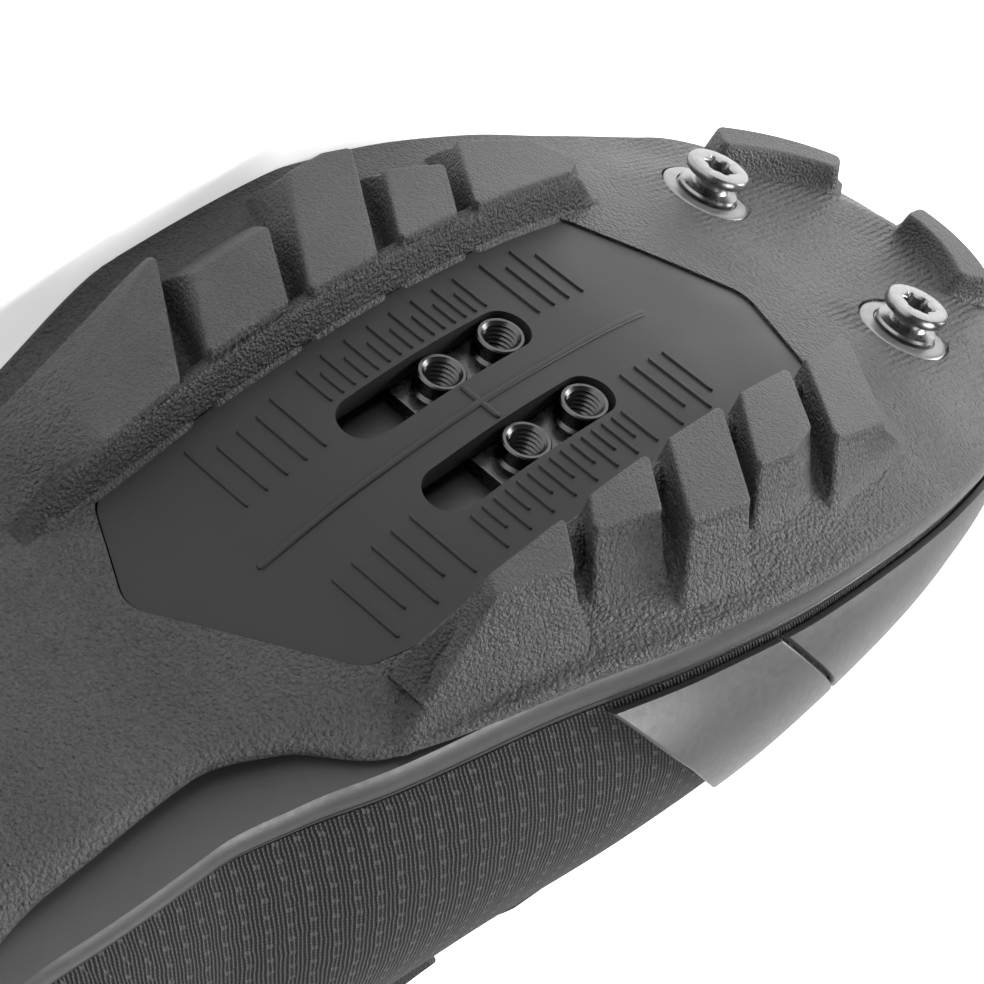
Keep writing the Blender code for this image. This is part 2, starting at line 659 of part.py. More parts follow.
def make_midsole(finish):
    """Foam and rand: it follows the outsole below and cups the footbed above."""
    turns = sole_turns()
    under = sole_sheet(turns, TREAD_ROWS[:-1], TREAD_BASE + FIT, EDGE_LEDGE, rubber_reach(turns))
    low = np.concatenate([under, sole_sheet(turns, TREAD_ROWS[-1:], TREAD_BASE + FIT)], 1)
    edge = sole_plan(turns, np.ones(turns.shape))
    top = feather_height(edge[:, 0])
    normal = plan_normal(turns)
    bulge = np.concatenate([edge + normal * 0.0006, ((low[:, -1, 2] + top) / 2)[:, None]], -1)
    lip = np.concatenate([edge, top[:, None]], -1)
    inner = edge - normal * RAND_WALL
    lip_inner = np.concatenate([inner, feather_height(inner[:, 0])[:, None]], -1)
    bed = []
    for out in BED_ROWS[::-1]:
        middle = spine(turns)
        plan = middle + (inner - middle) * out
        bed.append(np.concatenate([plan, (feather_height(plan[:, 0]) - FOOTBED_DROP)[:, None]], -1))
    rings = np.concatenate([low, np.stack([bulge, lip, lip_inner], 1), np.stack(bed, 1)], 1)
    bm = bmesh.new()
    grid_faces(bm, grid_vertices(bm, rings), closed=True)
    midsole = add_object("midsole", bm, finish)

    recess = bmesh.new()
    slab(recess, plate_outline(FIT), lambda x: floor_height(x) - 0.003,
         lambda x: plate_back(x) + FIT, plate_stations())
    boolean(midsole, add_object("plate_recess", recess, guide=True), "DIFFERENCE")

    pocket = bmesh.new()
    rear = NUT_FORWARD - NUT_PITCH / 2 - NUT_MARGIN - NUT_TRAVEL - POCKET_PLAY
    front = NUT_FORWARD + NUT_PITCH / 2 + NUT_MARGIN + POCKET_PLAY
    half = SLOT_SPACING / 2 + NUT_MARGIN - 0.001 + POCKET_PLAY
    outline = [(rear, -half), (front, -half), (front, half), (rear, half)]
    slab(pocket, outline, level(PLATE_BACK - 0.001),
         level(PLATE_BACK + FIT + NUT_WALL + POCKET_PLAY / 2))
    boolean(midsole, add_object("nut_pocket", pocket, guide=True), "DIFFERENCE")
    return midsole


def make_cleat_plate(finish):
    """Stiff plate in the sole, with the two slots for the cleat bolts."""
    bm = bmesh.new()
    slab(bm, plate_outline(), plate_face, plate_back, plate_stations())
    plate = add_object("cleat_plate", bm, finish)
    slots = bmesh.new()
    for side in (-1, 1):
        outline = []
        for end in (1, -1):
            centre = end * (SLOT_LENGTH - SLOT_WIDTH) / 2
            for k in range(9):
                angle = math.pi * (k / 8 - end / 2)
                outline.append((centre + SLOT_WIDTH / 2 * math.cos(angle),
                                side * SLOT_SPACING / 2 + SLOT_WIDTH / 2 * math.sin(angle)))
        slab(slots, outline, level(-0.003), level(PLATE_BACK + 0.003))
    boolean(plate, add_object("bolt_slots", slots, guide=True), "DIFFERENCE")
    return plate


def make_cleat_nut(finish):
    """Threaded plate behind the slots: four bosses reach through them and slide along."""
    bm = bmesh.new()
    reach = NUT_PITCH / 2 + NUT_MARGIN
    half = SLOT_SPACING / 2 + NUT_MARGIN - 0.001
    corners = np.array([(-reach, -half), (reach, -half), (reach, half), (-reach, half)])
    base = PLATE_BACK + FIT
    slab(bm, rounded(corners, 0.002), level(base), level(base + NUT_WALL))
    nut = add_object("cleat_nut", bm, finish)
    bosses, threads = bmesh.new(), bmesh.new()
    for x in (-NUT_PITCH / 2, NUT_PITCH / 2):
        for y in (-SLOT_SPACING / 2, SLOT_SPACING / 2):
            low, high = BOSS_RECESS, base + NUT_WALL / 2
            bmesh.ops.create_cone(bosses, cap_ends=True, segments=20, radius1=BOSS_RADIUS,
                                  radius2=BOSS_RADIUS, depth=high - low,
                                  matrix=Matrix.Translation((x, y, (low + high) / 2)))
            bmesh.ops.create_cone(threads, cap_ends=True, segments=14, radius1=THREAD_RADIUS,
                                  radius2=THREAD_RADIUS, depth=0.02,
                                  matrix=Matrix.Translation((x, y, base)))
    guides = [add_object("nut_bosses", bosses, guide=True), add_object("nut_threads", threads, guide=True)]
    boolean(nut, guides[0], "UNION")
    boolean(nut, guides[1], "DIFFERENCE")
    for item in [nut, *guides]:
        item.location.x = NUT_FORWARD
    return nut


def stud_frame(side):
    """Place of a toe stud: its own +Z goes up into the shoe, square to the tread's floor."""
    x, y = STUD_ALONG + side * 0.001, STUD_MIDDLE + side * STUD_SPACING / 2
    step = 0.004
    slope = float(floor_height(x + step) - floor_height(x - step)) / (2 * step)
    tilt = Matrix.Rotation(-math.atan(slope), 4, "Y")
    return Matrix.Translation((x, y, float(floor_height(x)))) @ tilt


def make_stud(name, side, finish):
    """Steel screw stud, turned about its own axis, with a socket in its head."""
    seat = STUD_POCKET - FIT
    top = seat - STUD_DISC_WALL
    head = STUD_HEAD_RADIUS
    profile = [(0.0, seat), (STUD_DISC_RADIUS, seat), (STUD_DISC_RADIUS, top),
               (head * 0.92, top), (head * 0.88, top - 0.0009), (head * 0.52, top - 0.0009),
               (head * 0.52, -STUD_HEIGHT + 0.0017), (head * 0.94, -STUD_HEIGHT + 0.0014),
               (head, -STUD_HEIGHT + 0.0010), (head * 0.93, -STUD_HEIGHT), (head * 0.52, -STUD_HEIGHT),
               (head * 0.46, -STUD_HEIGHT + 0.0015), (0.0, -STUD_HEIGHT + 0.0015)]
    bm = bmesh.new()
    rings = [[(r * math.cos(a), r * math.sin(a), z) for r, z in profile] for a in full_turn(16)]
    grid_faces(bm, grid_vertices(bm, np.array(rings)), flip=True, closed=True)
    stud = add_object(name, bm, finish)
    stud.matrix_world = stud_frame(side)
    return stud


def make_insole(finish):
    """Loose footbed inside the rand."""
    turns = sole_turns()
    grids = []
    for lift, trim in ((1.5 * FIT, 0.0), (INSOLE_WALL, 0.0006)):
        edge = sole_plan(turns, np.ones(turns.shape)) - plan_normal(turns) * (RAND_WALL + 2 * FIT + trim)
        middle = spine(turns)
        rows = []
        for out in BED_ROWS:
            plan = middle + (edge - middle) * out
            height = feather_height(plan[:, 0]) - FOOTBED_DROP + lift
            rows.append(np.concatenate([plan, height[:, None]], -1))
        grids.append(np.stack(rows, 1))
    bm = bmesh.new()
    bottom, top = grid_vertices(bm, grids[0]), grid_vertices(bm, grids[1])
    grid_faces(bm, bottom, closed=True)
    grid_faces(bm, top, flip=True, closed=True)
    for i in range(len(bottom)):
        k = (i + 1) % len(bottom)
        bm.faces.new([bottom[i][-1], bottom[k][-1], top[k][-1], top[i][-1]])
    return add_object("insole", bm, finish)


def make_upper(finish):
    """One hollow wall from the feather line to ridge, throat and collar, padded at the collar."""
    turns = full_turn(2 * RIBS)
    along = (1 + np.cos(turns)) / 2
    opened = read(RIB_LINE, "open", along)
    half = read(RIB_LINE, "half", along)
    welded = (opened <= 0) & (half <= 0)
    up = RIB_ROWS[None, :] * (1 - opened)[:, None]
    turn = np.repeat(turns[:, None], len(RIB_ROWS), 1)
    at_collar = ease(half / 0.15)[:, None] * ease((RIB_ROWS - 0.55) / 0.35)[None, :]
    wall = UPPER_WALL + COLLAR_PADDING * at_collar
    return shell("upper", skin(turn, up), skin(turn, up, -wall), finish, closed=True, welded=welded)


def make_overlay(name, finish):
    """A thin piece on the outside of the upper, between two leaning edges."""
    row = {key: float(values[0]) for key, values in OVERLAYS[name].items()}
    count = max(6, round((row["stop"] - row["start"]) * RIBS))
    across = np.linspace(0.0, 1.0, count + 1)[:, None]
    between = RIB_ROWS[(RIB_ROWS > row["foot"] + 0.02) & (RIB_ROWS < row["top"] - 0.02)]
    up = np.array([row["foot"], *between, row["top"]])[None, :] + 0 * across
    forward = row["lean"] * (up - row["foot"])
    if name == "heel_counter" or name == "toe_cap":
        begin, end = row["start"] + forward, row["stop"] - forward
    elif row["start"] > 0:
        begin, end = row["start"] - forward, row["stop"] - forward
    else:
        begin, end = row["start"] + forward, row["stop"] + forward
    turn = math.pi * (begin + (end - begin) * across)
    gap = 1.5 * FIT
    return shell(name, skin(turn, up, gap + OVERLAY_WALL), skin(turn, up, gap), finish)


def over_ridge(turn, across, out):
    """A point on the upper's skin, from the lateral side (-1) over the ridge (0) to the medial (1)."""
    sided = np.where(across >= 0, turn, -turn)
    return skin(sided, 1 - np.abs(across), out)


def make_strap(number, finish):
    """A flat strap that bridges the throat and lies on both sides of it."""
    row = {key: values[number] for key, values in STRAPS.items()}
    across = np.concatenate([np.linspace(-row["lateral"], 0.0, 9)[:-1],
                             np.linspace(0.0, row["medial"], 9)])[:, None]
    turn = math.pi * (row["start"] + row["wide"] * np.linspace(0.0, 1.0, 4))[None, :]
    turn, across = np.broadcast_arrays(turn, across)
    outer = over_ridge(turn, across, FIT + STRAP_WALL)
    inner = over_ridge(turn, across, FIT)
    return shell("strap_" + str(number + 1), outer, inner, finish)


def make_tongue(finish):
    """Padded tongue under the throat, which stands out of it at the top."""
    count = 13
    along = np.linspace(TONGUE["along"][0], TONGUE["along"][-1], count)
    half = smooth(TONGUE["along"], TONGUE["half"], along)
    across = np.linspace(-1.0, 1.0, 9)[None, :] * half[:, None]
    inside = np.clip(along, None, 1.0)
    foot_share = TONGUE_FRONT + (TONGUE_BACK - TONGUE_FRONT) * inside
    turn = np.arccos(np.clip(2 * foot_share - 1, -1, 1))[:, None] + 0 * across
    depth = UPPER_WALL + 3 * FIT + (COLLAR_PADDING * ease((along - 0.6) / 0.4))[:, None]
    outer = over_ridge(turn, across, -depth)
    inner = over_ridge(turn, across, -depth - TONGUE_WALL)
    last = int(np.searchsorted(along, 1.0)) - 1
    rise = skin(np.array(turn[last, 0]), np.array(1.0)) - skin(np.array(turn[last - 1, 0]), np.array(1.0))
    rise = rise / np.linalg.norm(rise)
    forward = np.array([rise[2], 0.0, -rise[0]])
    throat = OUTSOLE_LENGTH * (TONGUE_FRONT - TONGUE_BACK)
    slide = np.zeros(3)
    for i in range(last + 1, count):
        curl = TONGUE_CURL * (along[i] - along[last]) / (along[-1] - along[last])
        way = rise * math.cos(curl) + forward * math.sin(curl)
        slide = slide + way * throat * (along[i] - along[i - 1])
        for sheet, deep in ((outer, depth[i]), (inner, depth[i] + TONGUE_WALL)):
            sheet[i] = over_ridge(turn[last][None, :], across[i][None, :], -deep)[0] + slide
    return shell("tongue", inner, outer, finish)


def rest_on_side(pieces):
    """Turn that lays the shoe on the outer-side facet of its hull under its centre of mass."""
    graph = bpy.context.evaluated_depsgraph_get()
    cloud, mass, moment = [], 0.0, Vector((0, 0, 0))
    for piece in pieces:
        density = DENSITIES[piece.active_material.name]
        evaluated = piece.evaluated_get(graph)
        bm = bmesh.new()
        bm.from_mesh(evaluated.to_mesh())
        bm.transform(piece.matrix_world)
        bmesh.ops.triangulate(bm, faces=bm.faces)
        for face in bm.faces:
            a, b, c = (vert.co for vert in face.verts)
            part = a.dot(b.cross(c)) / 6 * density
            mass += part
            moment += (a + b + c) / 4 * part
        cloud.extend(vert.co.copy() for vert in bm.verts)
        bm.free()
        evaluated.to_mesh_clear()
    centre = moment / mass
    wrap = bmesh.new()
    for place in cloud:
        wrap.verts.new(place)
    bmesh.ops.convex_hull(wrap, input=wrap.verts, use_existing_faces=False)
    bmesh.ops.triangulate(wrap, faces=wrap.faces)
    bmesh.ops.recalc_face_normals(wrap, faces=wrap.faces)
    best = None
    for face in wrap.faces:
        normal = face.normal
        if normal.y > -0.85:
            continue
        corners = [vert.co for vert in face.verts]
        foot = centre + normal * (corners[0] - centre).dot(normal)
        inside = all((corners[(k + 1) % 3] - corners[k]).cross(foot - corners[k]).dot(normal) >= 0
                     for k in range(3))
        if inside and (best is None or face.calc_area() > best[0]):
            best = (face.calc_area(), normal.copy())
    wrap.free()
    upward = -best[1]
    toe_back = Vector((-1, 0, 0))
    toe_back = (toe_back - upward * toe_back.dot(upward)).normalized()
    turn = Matrix((toe_back, upward.cross(toe_back), upward)).to_4x4()
    placed = [turn @ place for place in cloud]
    low = Vector([min(p[k] for p in placed) for k in range(3)])
    high = Vector([max(p[k] for p in placed) for k in range(3)])
    base = Vector(((low.x + high.x) / 2, (low.y + high.y) / 2, low.z))
    return Matrix.Translation(-base) @ turn


def build():
    for item in list(bpy.data.objects):
        bpy.data.objects.remove(item, do_unlink=True)
    rubber = material("outsole_rubber", (0.090, 0.090, 0.092), 0.75)
    foam = material("midsole_rubber", (0.060, 0.060, 0.062), 0.60)
    nylon = material("plate_nylon", (0.055, 0.055, 0.057), 0.45)
    steel = material("dark_steel", (0.16, 0.16, 0.17), 0.25, 1.0)
    mesh_cloth = material("mesh_cloth", (0.045, 0.045, 0.047), 0.85)
    film = material("overlay_film", (0.130, 0.130, 0.133), 0.45)
    webbing = material("strap_webbing", (0.070, 0.070, 0.072), 0.70)
    lining = material("lining_cloth", (0.035, 0.035, 0.037), 0.90)

    pieces = [
        make_outsole(rubber),
        make_midsole(foam),
        make_cleat_plate(nylon),
        make_cleat_nut(steel),
        make_stud("toe_stud_lateral", -1, steel),
        make_stud("toe_stud_medial", 1, steel),
        make_insole(lining),
        make_upper(mesh_cloth),
        make_tongue(lining),
    ]
    pieces += [make_overlay(name, film) for name in OVERLAYS]
    pieces += [make_strap(number, webbing) for number in range(len(STRAPS["start"]))]

    bpy.context.view_layer.update()
    turn = rest_on_side(pieces)
    stand = bpy.data.objects.new("resting_frame", None)
    bpy.context.collection.objects.link(stand)
    for item in list(bpy.data.objects):
        if item is not stand:
            item.parent = stand
    stand.matrix_world = turn


build()
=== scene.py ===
"""A right off-road cycling shoe lying on its outer side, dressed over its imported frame.

Every shape is worked out in the shoe's own frame, in metres: the origin is the middle of the cleat
slots on the face of the cleat plate, x runs to the toe, y to the inner side and z up into the shoe.
"""

import json
import math

import bmesh
import bpy
import numpy as np
from mathutils import Matrix, Vector


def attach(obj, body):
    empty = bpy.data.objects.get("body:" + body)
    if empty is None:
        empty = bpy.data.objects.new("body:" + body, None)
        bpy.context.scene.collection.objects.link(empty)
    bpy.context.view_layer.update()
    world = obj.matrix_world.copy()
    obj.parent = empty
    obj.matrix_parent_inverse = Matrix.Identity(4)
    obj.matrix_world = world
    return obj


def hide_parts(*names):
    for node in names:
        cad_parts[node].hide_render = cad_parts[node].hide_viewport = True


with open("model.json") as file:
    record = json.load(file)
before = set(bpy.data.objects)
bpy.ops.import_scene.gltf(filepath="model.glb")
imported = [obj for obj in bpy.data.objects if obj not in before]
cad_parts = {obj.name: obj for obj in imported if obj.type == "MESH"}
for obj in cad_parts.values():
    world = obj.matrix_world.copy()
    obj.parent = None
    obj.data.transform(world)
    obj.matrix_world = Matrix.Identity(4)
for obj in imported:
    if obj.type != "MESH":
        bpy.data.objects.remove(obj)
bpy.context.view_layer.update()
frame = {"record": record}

# How the shoe lies. The cleat nut slides straight along the shoe and the rims of its bosses are
# square to it, so these two directions and one point on a rim place the whole shoe.
record = frame["record"]
boss_rim = next(mount for mount in record["mounts"] if mount["name"] == "bolt_boss_rim")
to_toe = np.array(record["behaviour"]["joints"][0]["axis"], float)
to_toe /= np.linalg.norm(to_toe)
into_shoe = -np.array(boss_rim["axis"], float)
into_shoe -= to_toe * (into_shoe @ to_toe)
into_shoe /= np.linalg.norm(into_shoe)
SHOE = np.stack([to_toe, np.cross(into_shoe, to_toe), into_shoe], 1)
RIM_POINT = np.array([0.014975, 0.007, 0.0017])
ORIGIN = np.array(boss_rim["pos_m"]) - SHOE @ RIM_POINT


def place(points):
    """From the shoe's own frame to where it lies: turned, then shifted."""
    return np.asarray(points, float) @ SHOE.T + ORIGIN


# The last: the wooden foot that sole and upper are both made round. Its plan is an ellipse as long
# as the sole with a breadth that changes along it, and its side view rises to the toe.
LENGTH = 0.280
TOE = 0.109
BALL = 0.086
SPRING = 0.025
FEATHER = 0.012
INSTEP = 0.097
GAP = 0.0003


def columns(names, *rows):
    """A table as one array for each named column."""
    return dict(zip(names.split(), np.array(rows, float).T))


OUTLINE = columns(
    "along middle breadth tuck",
    (0.000, -0.070, 0.745, 0.00), (0.040, -0.072, 0.740, 0.00), (0.093, -0.076, 0.635, 0.00),
    (0.164, -0.081, 0.510, 0.00), (0.254, -0.087, 0.384, 0.10), (0.325, -0.091, 0.334, 0.21),
    (0.396, -0.093, 0.334, 0.25), (0.432, -0.085, 0.352, 0.19), (0.468, -0.072, 0.382, 0.05),
    (0.539, -0.060, 0.443, 0.00), (0.611, -0.033, 0.500, 0.00), (0.682, -0.003, 0.530, 0.00),
    (0.754, 0.017, 0.553, 0.00), (0.825, 0.034, 0.582, 0.00), (0.886, 0.042, 0.635, 0.00),
    (0.932, 0.048, 0.693, 0.00), (0.968, 0.052, 0.726, 0.00), (1.000, 0.052, 0.745, 0.00),
)

SIDE_LINE = columns(
    "along floor feather",
    (0.000, -0.13, 0.30), (0.040, -0.25, 0.28), (0.110, -0.29, 0.26), (0.195, -0.25, 0.26),
    (0.225, -0.05, 0.27), (0.260, 0.26, 0.29), (0.300, 0.38, 0.31), (0.345, 0.405, 0.32),
    (0.396, 0.365, 0.29), (0.468, 0.215, 0.18), (0.539, 0.054, 0.054), (0.611, 0.000, 0.000),
    (0.682, 0.053, 0.053), (0.771, 0.256, 0.256), (0.825, 0.440, 0.440), (0.896, 0.675, 0.675),
    (1.000, 1.000, 1.000),
)


def smooth(keys, values, at):
    """Piecewise cubic through the rows whose slopes are harmonic means, so it never overshoots."""
    step = np.diff(keys)
    slope = np.diff(values) / step
    tangent = np.zeros_like(values)
    same_way = slope[:-1] * slope[1:] > 0
    weight_a = 2 * step[1:] + step[:-1]
    weight_b = step[1:] + 2 * step[:-1]
    safe_a = np.where(same_way, slope[:-1], 1.0)
    safe_b = np.where(same_way, slope[1:], 1.0)
    mean = (weight_a + weight_b) / (weight_a / safe_a + weight_b / safe_b)
    tangent[1:-1] = np.where(same_way, mean, 0.0)
    tangent[0], tangent[-1] = slope[0], slope[-1]
    at = np.clip(at, keys[0], keys[-1])
    row = np.clip(np.searchsorted(keys, at, side="right") - 1, 0, len(step) - 1)
    gap = step[row]
    part = (at - keys[row]) / gap
    near = values[row] * (1 + 2 * part) * (1 - part) ** 2 + tangent[row] * gap * part * (1 - part) ** 2
    far = values[row + 1] * part**2 * (3 - 2 * part) + tangent[row + 1] * gap * part**2 * (part - 1)
    return near + far


def read(table, name, along):
    """A column at a share of the length, with the shares spread as on a half circle."""
    keys = np.arccos(1 - 2 * table["along"])
    return smooth(keys, table[name], np.arccos(1 - 2 * np.clip(along, 0.0, 1.0)))


def ease(value):
    """From 0 to 1 with level ends: 3v^2 - 2v^3."""
    value = np.clip(value, 0.0, 1.0)
    return value * value * (3 - 2 * value)


def share(x):
    return (x - TOE + LENGTH) / LENGTH


def floor_height(x):
    return SPRING * read(SIDE_LINE, "floor", share(x))


def feather_height(x):
    return FEATHER + SPRING * read(SIDE_LINE, "feather", share(x))


def feather_plan(turn):
    """Plan of the feather line: middle line plus half breadth times the sine of the turn."""
    along = (1 + np.cos(turn)) / 2
    half = BALL * read(OUTLINE, "breadth", along) * np.sin(turn)
    return np.stack([TOE - LENGTH + LENGTH * along, BALL * read(OUTLINE, "middle", along) + half], -1)


def plan_normal(turn):
    """Direction out of the feather line: its tangent turned by a right angle."""
    ahead = feather_plan(turn + 0.004) - feather_plan(turn - 0.004)
    out = np.stack([ahead[..., 1], -ahead[..., 0]], -1)
    return out / np.linalg.norm(out, axis=-1, keepdims=True)


def spine(turn):
    """Middle line of the sole, a third of the ball's breadth short of both ends."""
    x = TOE - LENGTH / 2 + (LENGTH / 2 - BALL / 3) * np.cos(turn)
    return np.stack([x, BALL * read(OUTLINE, "middle", share(x))], -1)


def sole_plan(turn, out, grow=0.0):
    """Straight from the spine (out = 0) to the feather line (out = 1), grown by a length."""
    edge = feather_plan(turn) + plan_normal(turn) * np.asarray(grow)[..., None]
    return spine(turn) + (edge - spine(turn)) * np.asarray(out)[..., None]


def shoulder(out):
    """The tread's floor turns up over the outer third of the way to its edge."""
    return 0.0032 * ease((out - 0.70) / 0.30)


def rubber_reach(turn):
    """How far out the rubber goes: it turns in under the arch, on the inner side only."""
    tuck = read(OUTLINE, "tuck", (1 + np.cos(turn)) / 2)
    return 1 - np.where(np.sin(turn) > 0, tuck, 0.0)


def sole_turns(count):
    """Places round the sole, closer together along its sides than at its ends."""
    turn = np.arange(count) * 2 * math.pi / count
    return turn + 0.15 * np.sin(2 * turn)


def tread_height(x, y):
    """Height of the tread's floor at a place: side line plus shoulder."""
    along = np.clip(share(x), 0.01, 0.99)
    half = BALL * read(OUTLINE, "breadth", share(x)) * 2 * np.sqrt(along * (1 - along)) + 0.001
    return floor_height(x) + shoulder(np.abs(y - BALL * read(OUTLINE, "middle", share(x))) / half)


# Outsole: one moulding of carbon-black rubber with a coarse spark-eroded grain. It is a 2 mm sheet
# with a rolled edge, glued under the midsole, with a window for the cleat plate and two round
# pockets for the toe studs. On the outer side of the ball its edge stands out in a thin lip.
SHEET = 0.0020
ROLL = 0.0009
LIP = 0.0016
PLATE_LENGTH = 0.104
PLATE_BREADTH = 0.040
PLATE_CORNERS = columns(
    "along across",
    (-0.415, -0.490), (0.375, -0.490), (0.518, 0.090), (0.450, 0.490),
    (-0.290, 0.490), (-0.355, 0.430), (-0.480, -0.160),
)
STUD_PLACES = ((0.0740, -0.0167), (0.0760, 0.0187))
STUD_DISC = 0.0068
RUBBER_GREY = (0.042, 0.042, 0.043)
RUBBER_DARK, RUBBER_LIGHT = 0.010, 0.070


def quads_of(rows, cols, first=0, closed=False, flip=False):
    """Corner numbers of the quads between the rows and columns of a grid of points."""
    i = np.arange(rows if closed else rows - 1)[:, None]
    j = np.arange(cols - 1)[None, :]
    here = first + i * cols + j
    there = first + (i + 1) % rows * cols + j
    quads = np.stack([here, there, there + 1, here + 1], -1).reshape(-1, 4)
    return quads[:, ::-1] if flip else quads


def make_piece(name, points, quads, finishes, cloth_map=None, slots=None, marks=None, sharp=42):
    """A closed mesh in place: doubles merged, faces turned outwards, smooth but for sharp folds."""
    mesh = bpy.data.meshes.new(name)
    mesh.from_pydata(place(points.reshape(-1, 3)), [], quads)
    if cloth_map is not None:
        layer = mesh.uv_layers.new(name="cloth")
        layer.data.foreach_set("uv", cloth_map.reshape(-1, 2)[quads.ravel()].ravel().astype(np.float32))
    for label, values in (marks or {}).items():
        mark = mesh.attributes.new(label, "FLOAT", "POINT")
        mark.data.foreach_set("value", np.asarray(values, np.float32).ravel())
    if slots is not None:
        mesh.polygons.foreach_set("material_index", slots.astype(np.int32))
    bm = bmesh.new()
    bm.from_mesh(mesh)
    bmesh.ops.remove_doubles(bm, verts=bm.verts, dist=0.000003)
    bmesh.ops.dissolve_degenerate(bm, edges=bm.edges, dist=0.000001)
    bmesh.ops.recalc_face_normals(bm, faces=bm.faces)
    bm.to_mesh(mesh)
    bm.free()
    mesh.shade_smooth()
    mesh.set_sharp_from_angle(angle=math.radians(sharp))
    for finish in finishes:
        mesh.materials.append(finish)
    piece = bpy.data.objects.new(name, mesh)
    bpy.context.collection.objects.link(piece)
    return piece


def join_pieces(parts):
    """Several grids as one list of points and quads: parts are (points, quads from number 0)."""
    points, quads, first = [], [], 0
    for grid, faces in parts:
        points.append(grid.reshape(-1, 3))
        quads.append(faces + first)
        first += len(points[-1])
    return np.concatenate(points), np.concatenate(quads)


def start_finish(name, colour, roughness, specular=0.5, metallic=0.0):
    """A material with its Principled shader, and a maker of linked nodes in its tree."""
    finish = bpy.data.materials.new(name)
    finish.use_nodes = True
    tree = finish.node_tree
    shader = tree.nodes["Principled BSDF"]
    shader.inputs["Base Color"].default_value = (*colour, 1.0)
    shader.inputs["Roughness"].default_value = roughness
    shader.inputs["Specular IOR Level"].default_value = specular
    shader.inputs["Metallic"].default_value = metallic

    def add(kind, links=None, settings=None, out=0):
        node = tree.nodes.new("ShaderNode" + kind)
        for key, value in (settings or {}).items():
            setattr(node, key, value)
        for key, value in (links or {}).items():
            if isinstance(value, bpy.types.NodeSocket):
                tree.links.new(value, node.inputs[key])
            else:
                node.inputs[key].default_value = value
        return node.outputs[out]

    return finish, shader, add, tree


def in_millimetres(add):
    """Object coordinates in millimetres."""
    spot = add("TexCoord", out=3)
    return add("VectorMath", {0: spot, "Scale": 1000.0}, {"operation": "SCALE"})


def on_shoe(add):
    """Object coordinates turned and shifted to the shoe's own frame, in millimetres."""
    turn = Matrix(SHOE.tolist()).transposed()
    shift = turn @ Vector(ORIGIN.tolist())
    spot = add("TexCoord", out=3)
    angles = turn.to_euler("XYZ")
    turned = add("Mapping", {"Vector": spot, "Rotation": tuple(angles), "Location": tuple(-shift)})
    return add("VectorMath", {0: turned, "Scale": 1000.0}, {"operation": "SCALE"})


def grain(add, spot, size, detail=2.0, rough=0.55):
    """Cloudy noise whose lumps measure about a size in millimetres."""
    return add("TexNoise", {"Vector": spot, "Scale": 1.0 / size, "Detail": detail, "Roughness": rough})


def math_node(add, operation, a, b=0.0, c=0.0):
    return add("Math", {0: a, 1: b, 2: c}, {"operation": operation})


def bump(add, height, depth, before=None):
    """Relief of a depth in millimetres where the height is from 0 to 1."""
    links = {"Height": height, "Distance": depth / 1000, "Strength": 1.0}
    if before is not None:
        links["Normal"] = before
    return add("Bump", links)


def blend_grey(add, amount, dark, light):
    """A grey between two others."""
    return add("Mix", {0: amount, 6: (*[dark] * 3, 1.0), 7: (*[light] * 3, 1.0)},
               {"data_type": "RGBA"}, out=2)


